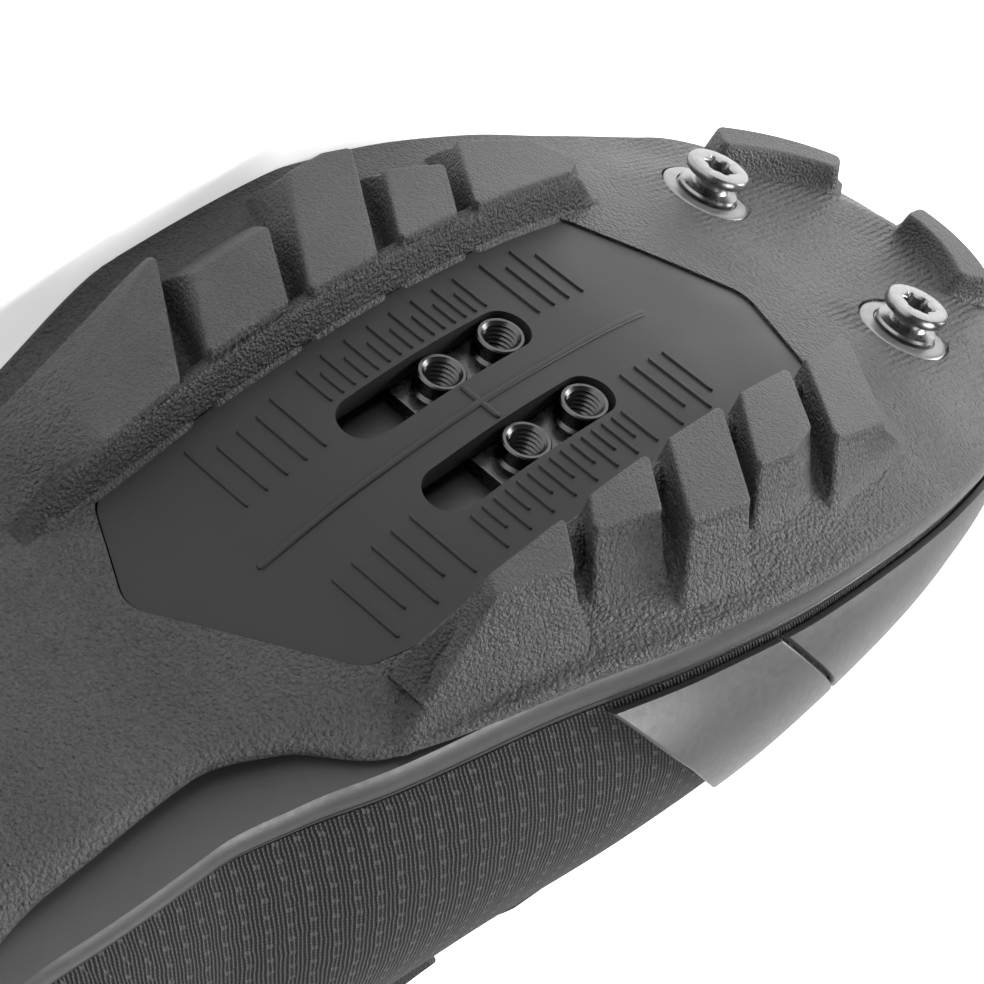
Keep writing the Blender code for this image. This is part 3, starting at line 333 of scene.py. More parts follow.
def rubber_finish(name, lump, depth, toe_grooves_and_sheen=False):
    """Moulded rubber: pebbled lumps over fine grain, finer where a face is marked as a top, coarser and
    darkened with painted shade where it is marked -1.
    """
    finish, shader, add, tree = start_finish(name, RUBBER_GREY, 0.5, 0.5)
    spot = in_millimetres(add)
    cells = add("TexVoronoi", {"Vector": spot, "Scale": 1.0 / lump, "Randomness": 1.0}, {"feature": "F1"})
    small = add("TexVoronoi", {"Vector": spot, "Scale": 1.9 / lump, "Randomness": 1.0}, {"feature": "F1"})
    fine = grain(add, spot, lump * 0.60, 4.0, 0.70)
    top = add("Attribute", settings={"attribute_name": "top"}, out=2)
    coarse = math_node(add, "SUBTRACT", 1.0, math_node(add, "MULTIPLY", top, 0.55))
    pebble = math_node(add, "MULTIPLY", math_node(add, "SUBTRACT", 1.0, cells), coarse)
    normal = bump(add, pebble, depth)
    normal = bump(add, math_node(add, "SUBTRACT", 1.0, small), depth * 0.40, normal)
    normal = bump(add, fine, depth * 0.60, normal)
    broad = grain(add, spot, 14.0, 3.0)
    tone = add("MapRange", {"Value": broad, "From Min": 0.3, "From Max": 0.7})
    speck = add("MapRange", {"Value": fine, "From Min": 0.36, "From Max": 0.64})
    worn = math_node(add, "MULTIPLY_ADD", speck, 0.7, math_node(add, "MULTIPLY", tone, 0.3))
    # Painted shade: faces marked -1 have their colour darkened down to a quarter, standing in for the shade
    # on the ridges in the recess beside the plate.
    painted_ridge_shade = add("MapRange", {"Value": top, "From Min": -1.0, "From Max": 0.0,
                                 "To Min": 0.25, "To Max": 1.0})
    colour = blend_grey(add, math_node(add, "MULTIPLY", worn, painted_ridge_shade), RUBBER_DARK, RUBBER_LIGHT)
    if toe_grooves_and_sheen:
        shoe = on_shoe(add)
        across = add("SeparateXYZ", {"Vector": shoe}, out=1)
        along = add("SeparateXYZ", {"Vector": shoe}, out=0)
        wave = math_node(add, "SINE", math_node(add, "MULTIPLY", across, 2 * math.pi / 1.05))
        groove_and_sheen_zone = add("MapRange", {"Value": along, "From Min": 56.0, "From Max": 66.0})
        height = math_node(add, "MULTIPLY", math_node(add, "MULTIPLY_ADD", wave, 0.5, 0.5), groove_and_sheen_zone)
        normal = bump(add, height, 0.14, normal)
        # Painted sheen: over the toe the colour is mixed towards a paler grey, standing in for the sheen of
        # the light from the toe on the grooved rubber. The grooves themselves are real relief.
        painted_toe_sheen = blend_grey(add, fine, 0.055, 0.085)
        colour = add("Mix", {0: math_node(add, "MULTIPLY", groove_and_sheen_zone, 0.8), 6: colour, 7: painted_toe_sheen},
                     {"data_type": "RGBA"}, out=2)
    tree.links.new(colour, shader.inputs["Base Color"])
    gloss = add("MapRange", {"Value": fine, "From Min": 0.3, "From Max": 0.7, "To Min": 0.34, "To Max": 0.58})
    tree.links.new(gloss, shader.inputs["Roughness"])
    tree.links.new(normal, shader.inputs["Normal"])
    return finish


def rounded(corners, radius, steps=4, sides=0):
    """A closed outline: an arc at each corner, and some points on the straights between them."""
    outline = []
    for i, corner in enumerate(corners):
        before, after = corners[i - 1], corners[(i + 1) % len(corners)]
        into = (corner - before) / np.linalg.norm(corner - before)
        away = (after - corner) / np.linalg.norm(after - corner)
        turn = math.acos(np.clip(into @ away, -1.0, 1.0))
        back = radius * math.tan(turn / 2)
        side = np.array([-into[1], into[0]]) * np.sign(into[0] * away[1] - into[1] * away[0])
        centre = corner - into * back + side * radius
        angle = turn * np.linspace(0.0, 1.0, steps + 1)[:, None]
        arc = centre - side * radius * np.cos(angle) + into * radius * np.sin(angle)
        if outline and sides:
            part = np.linspace(0.0, 1.0, sides + 2)[1:-1, None]
            outline.append(outline[-1][-1] * (1 - part) + arc[0] * part)
        outline.append(arc)
    if sides:
        part = np.linspace(0.0, 1.0, sides + 2)[1:-1, None]
        outline.append(outline[-1][-1] * (1 - part) + outline[0][0] * part)
    return np.concatenate(outline)


def grown(outline, amount):
    """An outline moved outwards along its own normals."""
    ahead = np.roll(outline, -1, axis=0) - np.roll(outline, 1, axis=0)
    out = np.stack([ahead[:, 1], -ahead[:, 0]], -1)
    return outline + out / np.linalg.norm(out, axis=1, keepdims=True) * amount


def plate_outline(grow):
    corners = np.stack([PLATE_CORNERS["along"] * PLATE_LENGTH, PLATE_CORNERS["across"] * PLATE_BREADTH], -1)
    return grown(rounded(corners, 0.004, 8, 8), grow)


def prism(name, outline, low, high):
    """A cutter: the outline between two heights."""
    count = len(outline)
    rings = np.stack([np.concatenate([outline, np.full((count, 1), z)], 1) for z in (low, high)], 1)
    mesh = bpy.data.meshes.new(name)
    mesh.from_pydata(place(rings.reshape(-1, 3)), [], quads_of(count, 2, closed=True).tolist()
                     + [list(range(0, 2 * count, 2)), list(range(1, 2 * count, 2))])
    bm = bmesh.new()
    bm.from_mesh(mesh)
    bmesh.ops.recalc_face_normals(bm, faces=bm.faces)
    bm.to_mesh(mesh)
    bm.free()
    cutter = bpy.data.objects.new(name, mesh)
    bpy.context.collection.objects.link(cutter)
    return cutter


def cut_away(piece, cutters):
    """The cutters taken out of a piece, whose new edges stay sharp."""
    for cutter in cutters:
        step = piece.modifiers.new("cut", "BOOLEAN")
        step.operation, step.solver, step.object = "DIFFERENCE", "EXACT", cutter
    bpy.context.view_layer.update()
    graph = bpy.context.evaluated_depsgraph_get()
    result = bpy.data.meshes.new_from_object(piece.evaluated_get(graph))
    piece.modifiers.clear()
    old, piece.data = piece.data, result
    bpy.data.meshes.remove(old)
    for cutter in cutters:
        bpy.data.objects.remove(cutter)
    result.shade_smooth()
    result.set_sharp_from_angle(angle=math.radians(35))


def lip_share(turn):
    """How much of the lip there is: all of it along the outer side of the ball, none elsewhere."""
    x = feather_plan(turn)[..., 0]
    return ease((x + 0.080) / 0.030) * ease((0.098 - x) / 0.018) * (np.sin(turn) < 0)


turns = sole_turns(560)
outs = np.concatenate([np.linspace(0.0, 0.40, 5), np.linspace(0.44, 0.985, 36)])
rolls = np.linspace(-0.5 * math.pi, 0.5 * math.pi, 9)
reach = rubber_reach(turns)[:, None]
out = np.concatenate([outs, np.ones(len(rolls)), [0.9, 0.6, 0.0]])[None, :] * reach
grow = np.concatenate([np.full(len(outs), 0.001 - ROLL), 0.001 - ROLL + ROLL * np.cos(rolls),
                       [0.0, 0.0, 0.0]])
turn, grow = np.meshgrid(turns, grow, indexing="ij")
lip = lip_share(turn)
plan = sole_plan(turn, out, grow + LIP * lip * ease((out - 0.75) / 0.25))
top = floor_height(plan[..., 0]) + shoulder(out) + SHEET
low = top - SHEET - 0.45 * lip * shoulder(out)
lift = np.concatenate([np.zeros(len(outs)), 0.5 + 0.5 * np.sin(rolls), [1.0] * 3])[None, :]
sheet_grid = np.concatenate([plan, (low + (top - low) * lift)[..., None]], -1)
# The lip is pressed flat where the shoe lies on it
below_floor = np.clip(-place(sheet_grid)[..., 2], 0.0, None)
sheet_grid[..., 1] += below_floor / SHOE[2, 1]
outsole_rubber = rubber_finish("outsole_rubber", 0.60, 0.40, toe_grooves_and_sheen=True)
outsole = make_piece("outsole_sheet", sheet_grid, quads_of(*out.shape, closed=True), [outsole_rubber])
pockets = []
for x, y in STUD_PLACES:
    spin = np.arange(48) * 2 * math.pi / 48
    ring = np.stack([x + (STUD_DISC + GAP) * np.cos(spin), y + (STUD_DISC + GAP) * np.sin(spin)], 1)
    pockets.append(prism("pocket", ring, -0.01, float(floor_height(x)) + 0.0012))
cut_away(outsole, [prism("window", plate_outline(GAP), -0.02, 0.02), *pockets])
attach(outsole, "shoe")
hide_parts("outsole")


# Tread blocks: moulded in one with the sheet, in two slanting rows beside the plate. Each has a
# level top 6 mm up, a steep inner face over a low ridge, and a long bevel out to the edge.
BLOCK_HEIGHT = 0.006
TOE_BLOCK_HEIGHT = 0.0038
BLOCK_EDGE = 0.00035
BLOCK_CORNER = 0.0006
BEVEL_START = 0.80
# Corners in millimetres, forward along the inner side and back along the outer one, of the top, of
# the line where the outer bevel starts if it isn't the top's edge, and of the foot
BLOCKS = (
    (((-41.9, -21.3), (-29.3, -21.7), (-18.6, -37.9), (-34.4, -31.6)),
     ((-43.5, -21.2), (-29.3, -21.6), (-17.6, -39.0), (-41.5, -34.0)),
     ((-50.5, -19.8), (-28.9, -20.0), (-14.6, -42.6), (-60.0, -34.0))),
    (((-24.8, -22.2), (-11.9, -22.1), (-4.8, -32.8), (-17.7, -32.4)),
     ((-24.8, -22.1), (-11.8, -22.0), (-4.2, -34.3), (-17.9, -33.9)),
     ((-24.9, -20.0), (-11.4, -20.0), (-2.2, -39.2), (-17.4, -39.0))),
    (((-8.8, -21.7), (2.7, -21.4), (15.4, -38.0), (11.0, -39.0), (3.9, -38.4)),
     ((-8.8, -21.6), (2.8, -21.3), (15.7, -38.6), (11.0, -39.8), (3.6, -39.0)),
     ((-8.9, -20.0), (3.2, -20.0), (19.0, -43.6), (13.5, -45.6), (2.6, -44.2))),
    (((7.2, -21.8), (18.0, -21.6), (24.5, -29.6), (15.8, -32.6)),
     ((7.2, -21.7), (18.1, -21.5), (24.8, -30.0), (15.8, -33.0)),
     ((6.9, -20.0), (18.6, -20.0), (28.4, -36.4), (18.0, -39.4))),
    (((21.4, -21.4), (42.0, -21.4), (46.2, -23.2), (42.4, -29.2), (30.3, -32.6)),
     ((21.4, -21.3), (42.2, -21.3), (46.4, -23.2), (42.6, -29.6), (30.3, -33.0)),
     ((21.0, -19.9), (43.0, -19.8), (51.6, -23.6), (46.0, -35.0), (32.8, -39.4))),
    (((-23.4, 20.8), (-10.6, 20.9), (-15.2, 26.4), (-25.0, 23.2)),
     ((-24.4, 20.7), (-10.6, 20.8), (-15.3, 26.7), (-26.4, 23.4)),
     ((-31.0, 20.1), (-10.2, 20.1), (-16.0, 31.4), (-40.0, 25.6))),
    (((-6.2, 20.7), (4.8, 20.7), (-0.9, 27.4), (-9.7, 24.4)),
     ((-6.2, 20.6), (4.8, 20.6), (-0.9, 27.7), (-9.8, 24.7)),
     ((-6.6, 20.1), (5.1, 20.1), (-2.3, 31.4), (-12.0, 28.6))),
    (((8.8, 20.6), (19.9, 20.6), (9.2, 33.0), (0.2, 30.8)),
     ((8.8, 20.5), (19.9, 20.5), (9.2, 33.3), (0.0, 31.1)),
     ((8.4, 20.1), (20.2, 20.1), (6.2, 37.8), (-3.0, 35.0))),
    (((23.9, 20.6), (35.4, 20.6), (27.6, 29.3), (21.2, 31.0), (14.8, 30.0)),
     ((23.9, 20.5), (35.4, 20.5), (27.7, 29.6), (21.2, 31.3), (14.6, 30.3)),
     ((23.5, 20.1), (35.8, 20.1), (25.4, 33.4), (20.4, 34.4), (12.4, 33.6))),
    (((39.6, 20.6), (52.0, 19.8), (38.8, 34.0), (28.9, 32.4)),
     ((39.6, 20.5), (52.4, 19.8), (39.4, 34.3), (28.7, 32.7)),
     ((39.2, 20.1), (56.0, 20.0), (48.0, 34.6), (25.6, 37.0))),
)
# Blocks that follow the edge at toe and heel: turn in degrees, shares of the way out, and height
EDGE_BLOCKS = columns(
    "start stop outer inner foot height",
    (328.5, 345.0, 0.92, 0.79, 0.735, TOE_BLOCK_HEIGHT),
    (359.0, 377.5, 0.82, 0.665, 0.61, TOE_BLOCK_HEIGHT),
    (117.5, 124.5, 0.93, 0.42, 0.34, BLOCK_HEIGHT), (127.5, 135.5, 0.95, 0.46, 0.38, BLOCK_HEIGHT),
    (139.0, 149.5, 0.96, 0.52, 0.44, BLOCK_HEIGHT), (153.5, 176.0, 0.96, 0.60, 0.50, BLOCK_HEIGHT),
    (184.0, 206.5, 0.96, 0.60, 0.50, BLOCK_HEIGHT), (210.5, 221.0, 0.96, 0.52, 0.44, BLOCK_HEIGHT),
    (224.5, 232.5, 0.95, 0.46, 0.38, BLOCK_HEIGHT), (235.5, 242.5, 0.93, 0.42, 0.34, BLOCK_HEIGHT),
)


def block_grid(outlines, height):
    """Rings up through three outlines, with a flared root and an edge rounded as a quarter circle,
    and on to the middle of the top; the first rings close it under the foot."""
    steps = np.array([0.0, 0.05, 0.12, 0.22, 0.4, 0.6, 0.80, 0.87, 1 - BLOCK_EDGE / height])
    rounding = np.linspace(0.0, 0.5 * math.pi, 5)[1:]
    steps = np.concatenate([steps, 1 - BLOCK_EDGE / height * (1 - np.sin(rounding))])
    inset = np.concatenate([np.zeros(9), BLOCK_EDGE * (1 - np.cos(rounding))])
    flare = 0.0009 * np.clip(1 - steps / 0.22, 0.0, 1.0) ** 2
    rings = []
    for step, trim in zip(steps, flare - inset):
        mix = np.interp(step, (0.0, BEVEL_START, 1.0), (0.0, 1.0, 2.0))
        first = min(int(mix), 1)
        plan = outlines[first] + (outlines[first + 1] - outlines[first]) * (mix - first)
        plan = grown(plan, trim)
        low = tread_height(plan[:, 0], plan[:, 1]) + 0.0004
        high = floor_height(plan[:, 0]) - height
        rings.append(np.concatenate([plan, (low + (high - low) * step)[:, None]], 1))
    edge = rings[-1][:, :2]
    for part in (0.93, 0.7, 0.35, 0.0):
        plan = edge.mean(0) + (edge - edge.mean(0)) * part
        rings.append(np.concatenate([plan, (floor_height(plan[:, 0]) - height)[:, None]], 1))
    under = rings[0] + np.array([0.0, 0.0, 0.0006])
    grid = np.stack([under * 0 + under.mean(0), under, *rings], 1)
    top = np.concatenate([[0.0, 0.0], np.where(steps > 0.9, 1.0, 0.0), np.ones(4)])
    return grid, np.repeat(top[None, :], len(under), 0)


def in_order(corners):
    """Corners in metres, put in the order in which growing an outline makes it larger."""
    corners = np.array(corners) / 1000
    ahead = np.roll(corners, -1, axis=0)
    area = (corners[:, 0] * ahead[:, 1] - ahead[:, 0] * corners[:, 1]).sum()
    return corners if area > 0 else corners[::-1]


def side_ridge(side, start, stop, high):
    """The ridge that joins the blocks of a row: a rounded section carried along the plate's edge."""
    x = np.linspace(start, stop, 90)
    section = np.array([(0.0197, 0.05), (0.0201, 0.35), (0.0207, 0.80), (0.0210, 0.95), (0.0214, 1.0),
                        (0.0222, 1.0), (0.0228, 0.93), (0.0236, 0.70), (0.0246, 0.30), (0.0254, -0.15),
                        (0.0225, -0.15), (0.0197, -0.15)])
    swell = ease((x - start) / 0.009) * ease((stop - x) / 0.006)
    y = side * section[None, :, 0] + 0 * x[:, None]
    rise = np.where(section[None, :, 1] > 0, section[None, :, 1] * high * swell[:, None], -0.0004)
    z = floor_height(x)[:, None] - rise
    grid = np.stack([x[:, None] + 0 * y, y, z], -1)
    middle = grid.mean(1, keepdims=True)
    grid = np.concatenate([grid[:1] * 0 + middle[:1], grid, grid[-1:] * 0 + middle[-1:]], 0)
    return np.transpose(grid, (1, 0, 2))


blocks, top_and_shade_marks = [], []
for outlines in BLOCKS:
    top, bevel, foot = (rounded(in_order(outline), BLOCK_CORNER, 4, 8) for outline in outlines)
    grid, mark = block_grid((foot, bevel, top), BLOCK_HEIGHT)
    blocks.append((grid, quads_of(*grid.shape[:2], closed=True)))
    top_and_shade_marks.append(mark)
for row in range(len(EDGE_BLOCKS["start"])):
    size = {name: float(values[row]) for name, values in EDGE_BLOCKS.items()}
    outlines = []
    for inner, outer, more in ((size["foot"], min(size["outer"] + 0.03, 0.99), 0.8),
                               (size["inner"], size["outer"], 0.0)):
        corners = np.array([(size["start"] - more, inner), (size["stop"] + more, inner),
                            (size["stop"] + more, outer), (size["start"] - more, outer)])
        stretch = np.array([1.0, 22.0])
        ring = rounded(corners * stretch, 0.9, 4, 10) / stretch
        outline = sole_plan(np.radians(ring[:, 0]), ring[:, 1], 0.001)
        outlines.append(in_order(outline * 1000))
    grid, mark = block_grid((outlines[0], outlines[0] + (outlines[1] - outlines[0]) * 0.8, outlines[1]),
                            size["height"])
    blocks.append((grid, quads_of(*grid.shape[:2], closed=True)))
    top_and_shade_marks.append(mark)
for side, start, stop, high in ((-1, -0.053, 0.050, 0.0046), (1, -0.036, 0.052, 0.0030)):
    grid = side_ridge(side, start, stop, high)
    blocks.append((grid, quads_of(*grid.shape[:2], closed=True)))
    # The ridges are marked -1: coarser grain, and painted shade that darkens their colour.
    top_and_shade_marks.append(np.full(grid.shape[:2], -1.0))
points, quads = join_pieces(blocks)
block_rubber = rubber_finish("block_rubber", 0.50, 0.34)
tread = make_piece("tread_blocks", points, quads, [block_rubber], sharp=50,
                   marks={"top": np.concatenate([mark.ravel() for mark in top_and_shade_marks])})
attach(tread, "shoe")
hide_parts("outsole")


# Cleat plate: glass-filled nylon, moulded smooth, set into the window 0.4 mm below the rubber. Two
# slots let the cleat bolts through, and fine raised lines show how far the cleat has been moved.
PLATE_RECESS = 0.0004
SLOT_SPACING = 0.014
SLOT_WIDTH = 0.0069
SLOT_LENGTH = 0.0325
TICK_WIDE = 0.00042
TICK_HIGH = 0.00030


def plate_face(x):
    return floor_height(x) + PLATE_RECESS


def slot_outline(side):
    """Two half circles joined by straights."""
    spin = np.linspace(-0.5 * math.pi, 0.5 * math.pi, 17)
    radius = SLOT_WIDTH / 2
    end = (SLOT_LENGTH - SLOT_WIDTH) / 2
    x = np.concatenate([end + radius * np.cos(spin), -end - radius * np.cos(spin)])
    y = np.concatenate([radius * np.sin(spin), -radius * np.sin(spin)])
    return np.stack([x, side * SLOT_SPACING / 2 + y], 1)


def filled_sheet(outline, holes, step=0.0035):
    """Triangles that fill an outline round its holes, cut across every few millimetres."""
    bm = bmesh.new()
    for loop in (outline, *holes):
        ring = [bm.verts.new((x, y, 0.0)) for x, y in loop]
        for i, vert in enumerate(ring):
            bm.edges.new((vert, ring[(i + 1) % len(ring)]))
    bmesh.ops.triangle_fill(bm, edges=bm.edges, use_beauty=True)
    for x in np.arange(outline[:, 0].min() + step, outline[:, 0].max(), step):
        bmesh.ops.bisect_plane(bm, geom=[*bm.verts, *bm.edges, *bm.faces], plane_co=(x, 0, 0),
                               plane_no=(1, 0, 0), dist=1e-6)
    return bm


def solid_plate(name, outline, holes, low, high, finish, edge):
    """The filled sheet given its thickness, with rounded edges."""
    bm = filled_sheet(outline, holes)
    bottom = list(bm.faces)
    made = bmesh.ops.extrude_face_region(bm, geom=bottom, use_keep_orig=True)
    raised = [v for v in made["geom"] if isinstance(v, bmesh.types.BMVert)]
    lower = [v for v in bm.verts if v not in set(raised)]
    for vert in raised:
        vert.co.z = float(high(vert.co.x))
    for vert in lower:
        vert.co.z = float(low(vert.co.x))
    bmesh.ops.recalc_face_normals(bm, faces=bm.faces)
    for vert in bm.verts:
        vert.co = Vector(place(np.array(vert.co)).tolist())
    mesh = bpy.data.meshes.new(name)
    bm.to_mesh(mesh)
    bm.free()
    mesh.shade_smooth()
    mesh.set_sharp_from_angle(angle=math.radians(40))
    mesh.materials.append(finish)
    piece = bpy.data.objects.new(name, mesh)
    bpy.context.collection.objects.link(piece)
    round_off = piece.modifiers.new("edge", "BEVEL")
    round_off.width, round_off.segments, round_off.limit_method = edge, 2, "ANGLE"
    round_off.angle_limit = math.radians(50)
    round_off.harden_normals = True
    return piece


def bar(start, end, wide, high, lift):
    """A fine raised line with round ends: a domed section carried from one end to the other."""
    start, end = np.array(start), np.array(end)
    ahead = (end - start) / np.linalg.norm(end - start)
    side = np.array([-ahead[1], ahead[0]])
    run = np.linspace(0.0, 1.0, max(9, int(np.linalg.norm(end - start) / 0.0012)))
    run = run - 0.9 * np.sin(2 * math.pi * run) / (2 * math.pi)
    from_end = np.minimum(run, 1 - run) * np.linalg.norm(end - start)
    slim = np.sqrt(np.clip(1 - np.clip(1 - from_end / (wide / 2), 0.0, 1.0) ** 2, 0.0, 1.0))
    across = np.array([-1.0, -1.0, -0.8, -0.35, 0.35, 0.8, 1.0, 1.0])
    rise = np.array([-0.4, 0.35, 0.85, 1.0, 1.0, 0.85, 0.35, -0.4])
    plan = (start + (end - start) * run[:, None])[:, None, :] \
        + side * (across[None, :] * (slim * wide / 2)[:, None])[..., None]
    z = lift(plan[..., 0]) - high * rise[None, :]
    grid = np.transpose(np.concatenate([plan, z[..., None]], -1), (1, 0, 2))
    return grid, quads_of(*grid.shape[:2], closed=True)


def nylon_finish(name, grey):
    """Satin nylon: faint mottling from the mould and a very fine grain."""
    finish, shader, add, tree = start_finish(name, (grey,) * 3, 0.50, 0.16)
    spot = in_millimetres(add)
    mottle = grain(add, spot, 9.0, 4.0, 0.55)
    fine = grain(add, spot, 0.16, 2.0, 0.6)
    colour = blend_grey(add, mottle, grey * 0.84, grey * 1.16)
    tree.links.new(colour, shader.inputs["Base Color"])
    gloss = add("MapRange", {"Value": mottle, "From Min": 0.3, "From Max": 0.7,
                             "To Min": 0.38, "To Max": 0.48})
    tree.links.new(gloss, shader.inputs["Roughness"])
    tree.links.new(bump(add, fine, 0.018), shader.inputs["Normal"])
    return finish


plate_nylon = nylon_finish("plate_nylon", 0.027)
plate = solid_plate("cleat_plate_moulding", plate_outline(0.0), [slot_outline(-1), slot_outline(1)],
                    plate_face, lambda x: max(0.0042, float(floor_height(x)) + 0.0024), plate_nylon, 0.00025)
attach(plate, "shoe")
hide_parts("cleat_plate")

lines = [bar((-0.0365, 0.0), (0.0334, 0.0), 0.0010, 0.00028, plate_face),
         bar((0.0, -0.0032), (0.0, 0.0032), 0.0009, 0.00028, plate_face)]
REAR_LATERAL = (17.25, 15.2, 15.2, 15.2, 16.2)
REAR_MEDIAL = (17.25, 15.2, 17.25, 15.2, 17.25)
FRONT_BOTH = (17.25, 15.2, 17.25, 15.2)
for number in range(5):
    x = -(19.4 + 3.08 * (4 - number)) / 1000
    lines.append(bar((x, -0.0067), (x, -REAR_LATERAL[number] / 1000), TICK_WIDE, TICK_HIGH, plate_face))
    lines.append(bar((x, 0.0067), (x, REAR_MEDIAL[number] / 1000), TICK_WIDE, TICK_HIGH, plate_face))
for number in range(4):
    x = (19.4 + 3.08 * number) / 1000
    for side in (-1, 1):
        lines.append(bar((x, side * 0.0067), (x, side * FRONT_BOTH[number] / 1000), TICK_WIDE, TICK_HIGH,
                         plate_face))
for number in range(15):
    x = (number - 7) * 2.0 / 1000
    for side in (-1, 1):
        far = 15.2 if number % 2 else 17.25
        lines.append(bar((x, side * 0.0112), (x, side * far / 1000), TICK_WIDE, TICK_HIGH, plate_face))
points, quads = join_pieces(lines)
plate_lines = make_piece("plate_lines", points, quads, [plate_nylon], sharp=60)
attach(plate_lines, "shoe")


# Cleat nut: a steel plate loose behind the slots, with four threaded bosses pressed into it that
# reach through them. It is blackened and oily, and bright on the rims where bolts have rubbed.
NUT_FORWARD = 0.0067
NUT_PITCH = 0.011
BOSS_RADIUS = 0.00315
BORE_RADIUS = 0.0024
BOSS_RECESS = 0.0017
NUT_BASE = 0.0045


def turned(profile, place_it, count=48, wobble=None):
    """A profile (radius, height) carried round its axis; its first and last radius are 0."""
    spin = np.arange(count) * 2 * math.pi / count
    radius = profile[None, :, 0] + 0 * spin[:, None]
    if wobble is not None:
        radius = radius * (1 + wobble[None, :] * np.cos(6 * spin)[:, None])
    grid = np.stack([radius * np.cos(spin)[:, None], radius * np.sin(spin)[:, None],
                     profile[None, :, 1] + 0 * radius], -1)
    return place_it(grid), quads_of(grid.shape[0], grid.shape[1], closed=True)


def steel_finish(name, grey, roughness):
    """Steel under thin oil, with rubbed and brighter spots."""
    finish, shader, add, tree = start_finish(name, (grey,) * 3, roughness, 0.5, 1.0)
    spot = in_millimetres(add)
    patch = grain(add, spot, 1.8, 4.0, 0.6)
    colour = blend_grey(add, patch, grey * 0.6, grey * 1.5)
    tree.links.new(colour, shader.inputs["Base Color"])
    gloss = add("MapRange", {"Value": patch, "From Min": 0.3, "From Max": 0.7, "To Min": roughness * 0.7,
                             "To Max": roughness * 1.4})
    tree.links.new(gloss, shader.inputs["Roughness"])
    tree.links.new(bump(add, grain(add, spot, 0.2, 2.0), 0.010), shader.inputs["Normal"])
    return finish


THREAD_DEPTH = 0.00026
threads = []
for k in range(24):
    radius = BORE_RADIUS - THREAD_DEPTH * math.cos(2 * math.pi * k / 4)
    threads.append((radius, BOSS_RECESS + 0.0004 + 0.00019 * k))
boss_profile = np.array([(0.0, 0.0066), (BORE_RADIUS, 0.0066), *threads[::-1],
                         (BORE_RADIUS + 0.00006, BOSS_RECESS + 0.00014), (BORE_RADIUS + 0.0002, BOSS_RECESS),
                         (BOSS_RADIUS - 0.00018, BOSS_RECESS), (BOSS_RADIUS, BOSS_RECESS + 0.00018),
                         (BOSS_RADIUS, BOSS_RECESS + 0.0016), (BOSS_RADIUS - 0.00025, BOSS_RECESS + 0.0019),
                         (BOSS_RADIUS - 0.00025, NUT_BASE - 0.0004), (BOSS_RADIUS + 0.0002, NUT_BASE),
                         (BOSS_RADIUS + 0.0002, 0.0067), (0.0, 0.0067)])
nut_parts = []
for x in (-NUT_PITCH / 2, NUT_PITCH / 2):
    for y in (-SLOT_SPACING / 2, SLOT_SPACING / 2):
        spot = np.array([NUT_FORWARD + x, y, 0.0])
        nut_parts.append(turned(boss_profile, lambda grid, spot=spot: grid + spot))
black_steel = steel_finish("black_steel", 0.075, 0.26)
points, quads = join_pieces(nut_parts)
bosses = make_piece("nut_bosses", points, quads, [black_steel], sharp=35)
half = np.array([NUT_PITCH / 2 + 0.0055, SLOT_SPACING / 2 + 0.0045])
corners = np.array([(-1, -1), (1, -1), (1, 1), (-1, 1)]) * half + np.array([NUT_FORWARD, 0.0])
spin = np.arange(32) * 2 * math.pi / 32
holes = [np.array([NUT_FORWARD + x, y]) + (BOSS_RADIUS - 0.0001) * np.stack([np.cos(spin), np.sin(spin)], 1)
         for x in (-NUT_PITCH / 2, NUT_PITCH / 2) for y in (-SLOT_SPACING / 2, SLOT_SPACING / 2)]
nut_plate = solid_plate("nut_plate", rounded(corners, 0.002, 6, 3), holes, lambda x: NUT_BASE,
                        lambda x: NUT_BASE + 0.002, black_steel, 0.0003)
for piece in (bosses, nut_plate):
    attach(piece, "cleat_nut")
    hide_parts("cleat_nut")


# Toe studs: two steel screws for mud. Each has a flat polished head with a six-lobed socket, a
# waisted neck over a flange, and a pale pressed washer that fills its round pocket in the rubber.
STUD_HEAD = 0.0048
STUD_HIGH = 0.0046


def stud_place(x, y):
    """Its own axis square to the tread's floor, at a place on it."""
    slope = float(floor_height(x + 0.004) - floor_height(x - 0.004)) / 0.008
    angle = -math.atan(slope)
    tilt = np.array([[math.cos(angle), 0, math.sin(angle)], [0, 1, 0],
                     [-math.sin(angle), 0, math.cos(angle)]])
    seat = np.array([x, y, float(floor_height(x))])
    return lambda grid: grid @ tilt.T + seat


head_profile = np.array([
    (0.0, 0.0006), (STUD_HEAD * 0.62, 0.0006), (STUD_HEAD * 0.62, -0.0002), (STUD_HEAD * 0.93, -0.0003),
    (STUD_HEAD * 0.96, -0.0006), (STUD_HEAD * 0.92, -0.0010), (STUD_HEAD * 0.60, -0.0012),
    (STUD_HEAD * 0.52, -0.0016), (STUD_HEAD * 0.52, -STUD_HIGH + 0.0022),
    (STUD_HEAD * 0.60, -STUD_HIGH + 0.0018), (STUD_HEAD * 0.96, -STUD_HIGH + 0.0015),
    (STUD_HEAD, -STUD_HIGH + 0.0012), (STUD_HEAD, -STUD_HIGH + 0.0005),
    (STUD_HEAD * 0.95, -STUD_HIGH + 0.0001), (STUD_HEAD * 0.90, -STUD_HIGH), (STUD_HEAD * 0.55, -STUD_HIGH),
    (STUD_HEAD * 0.50, -STUD_HIGH + 0.00008), (STUD_HEAD * 0.45, -STUD_HIGH + 0.0003),
    (STUD_HEAD * 0.43, -STUD_HIGH + 0.0019), (STUD_HEAD * 0.30, -STUD_HIGH + 0.0022),
    (0.0, -STUD_HIGH + 0.0023)])
lobes = np.zeros(len(head_profile))
lobes[16:20] = (0.10, 0.15, 0.15, 0.10)
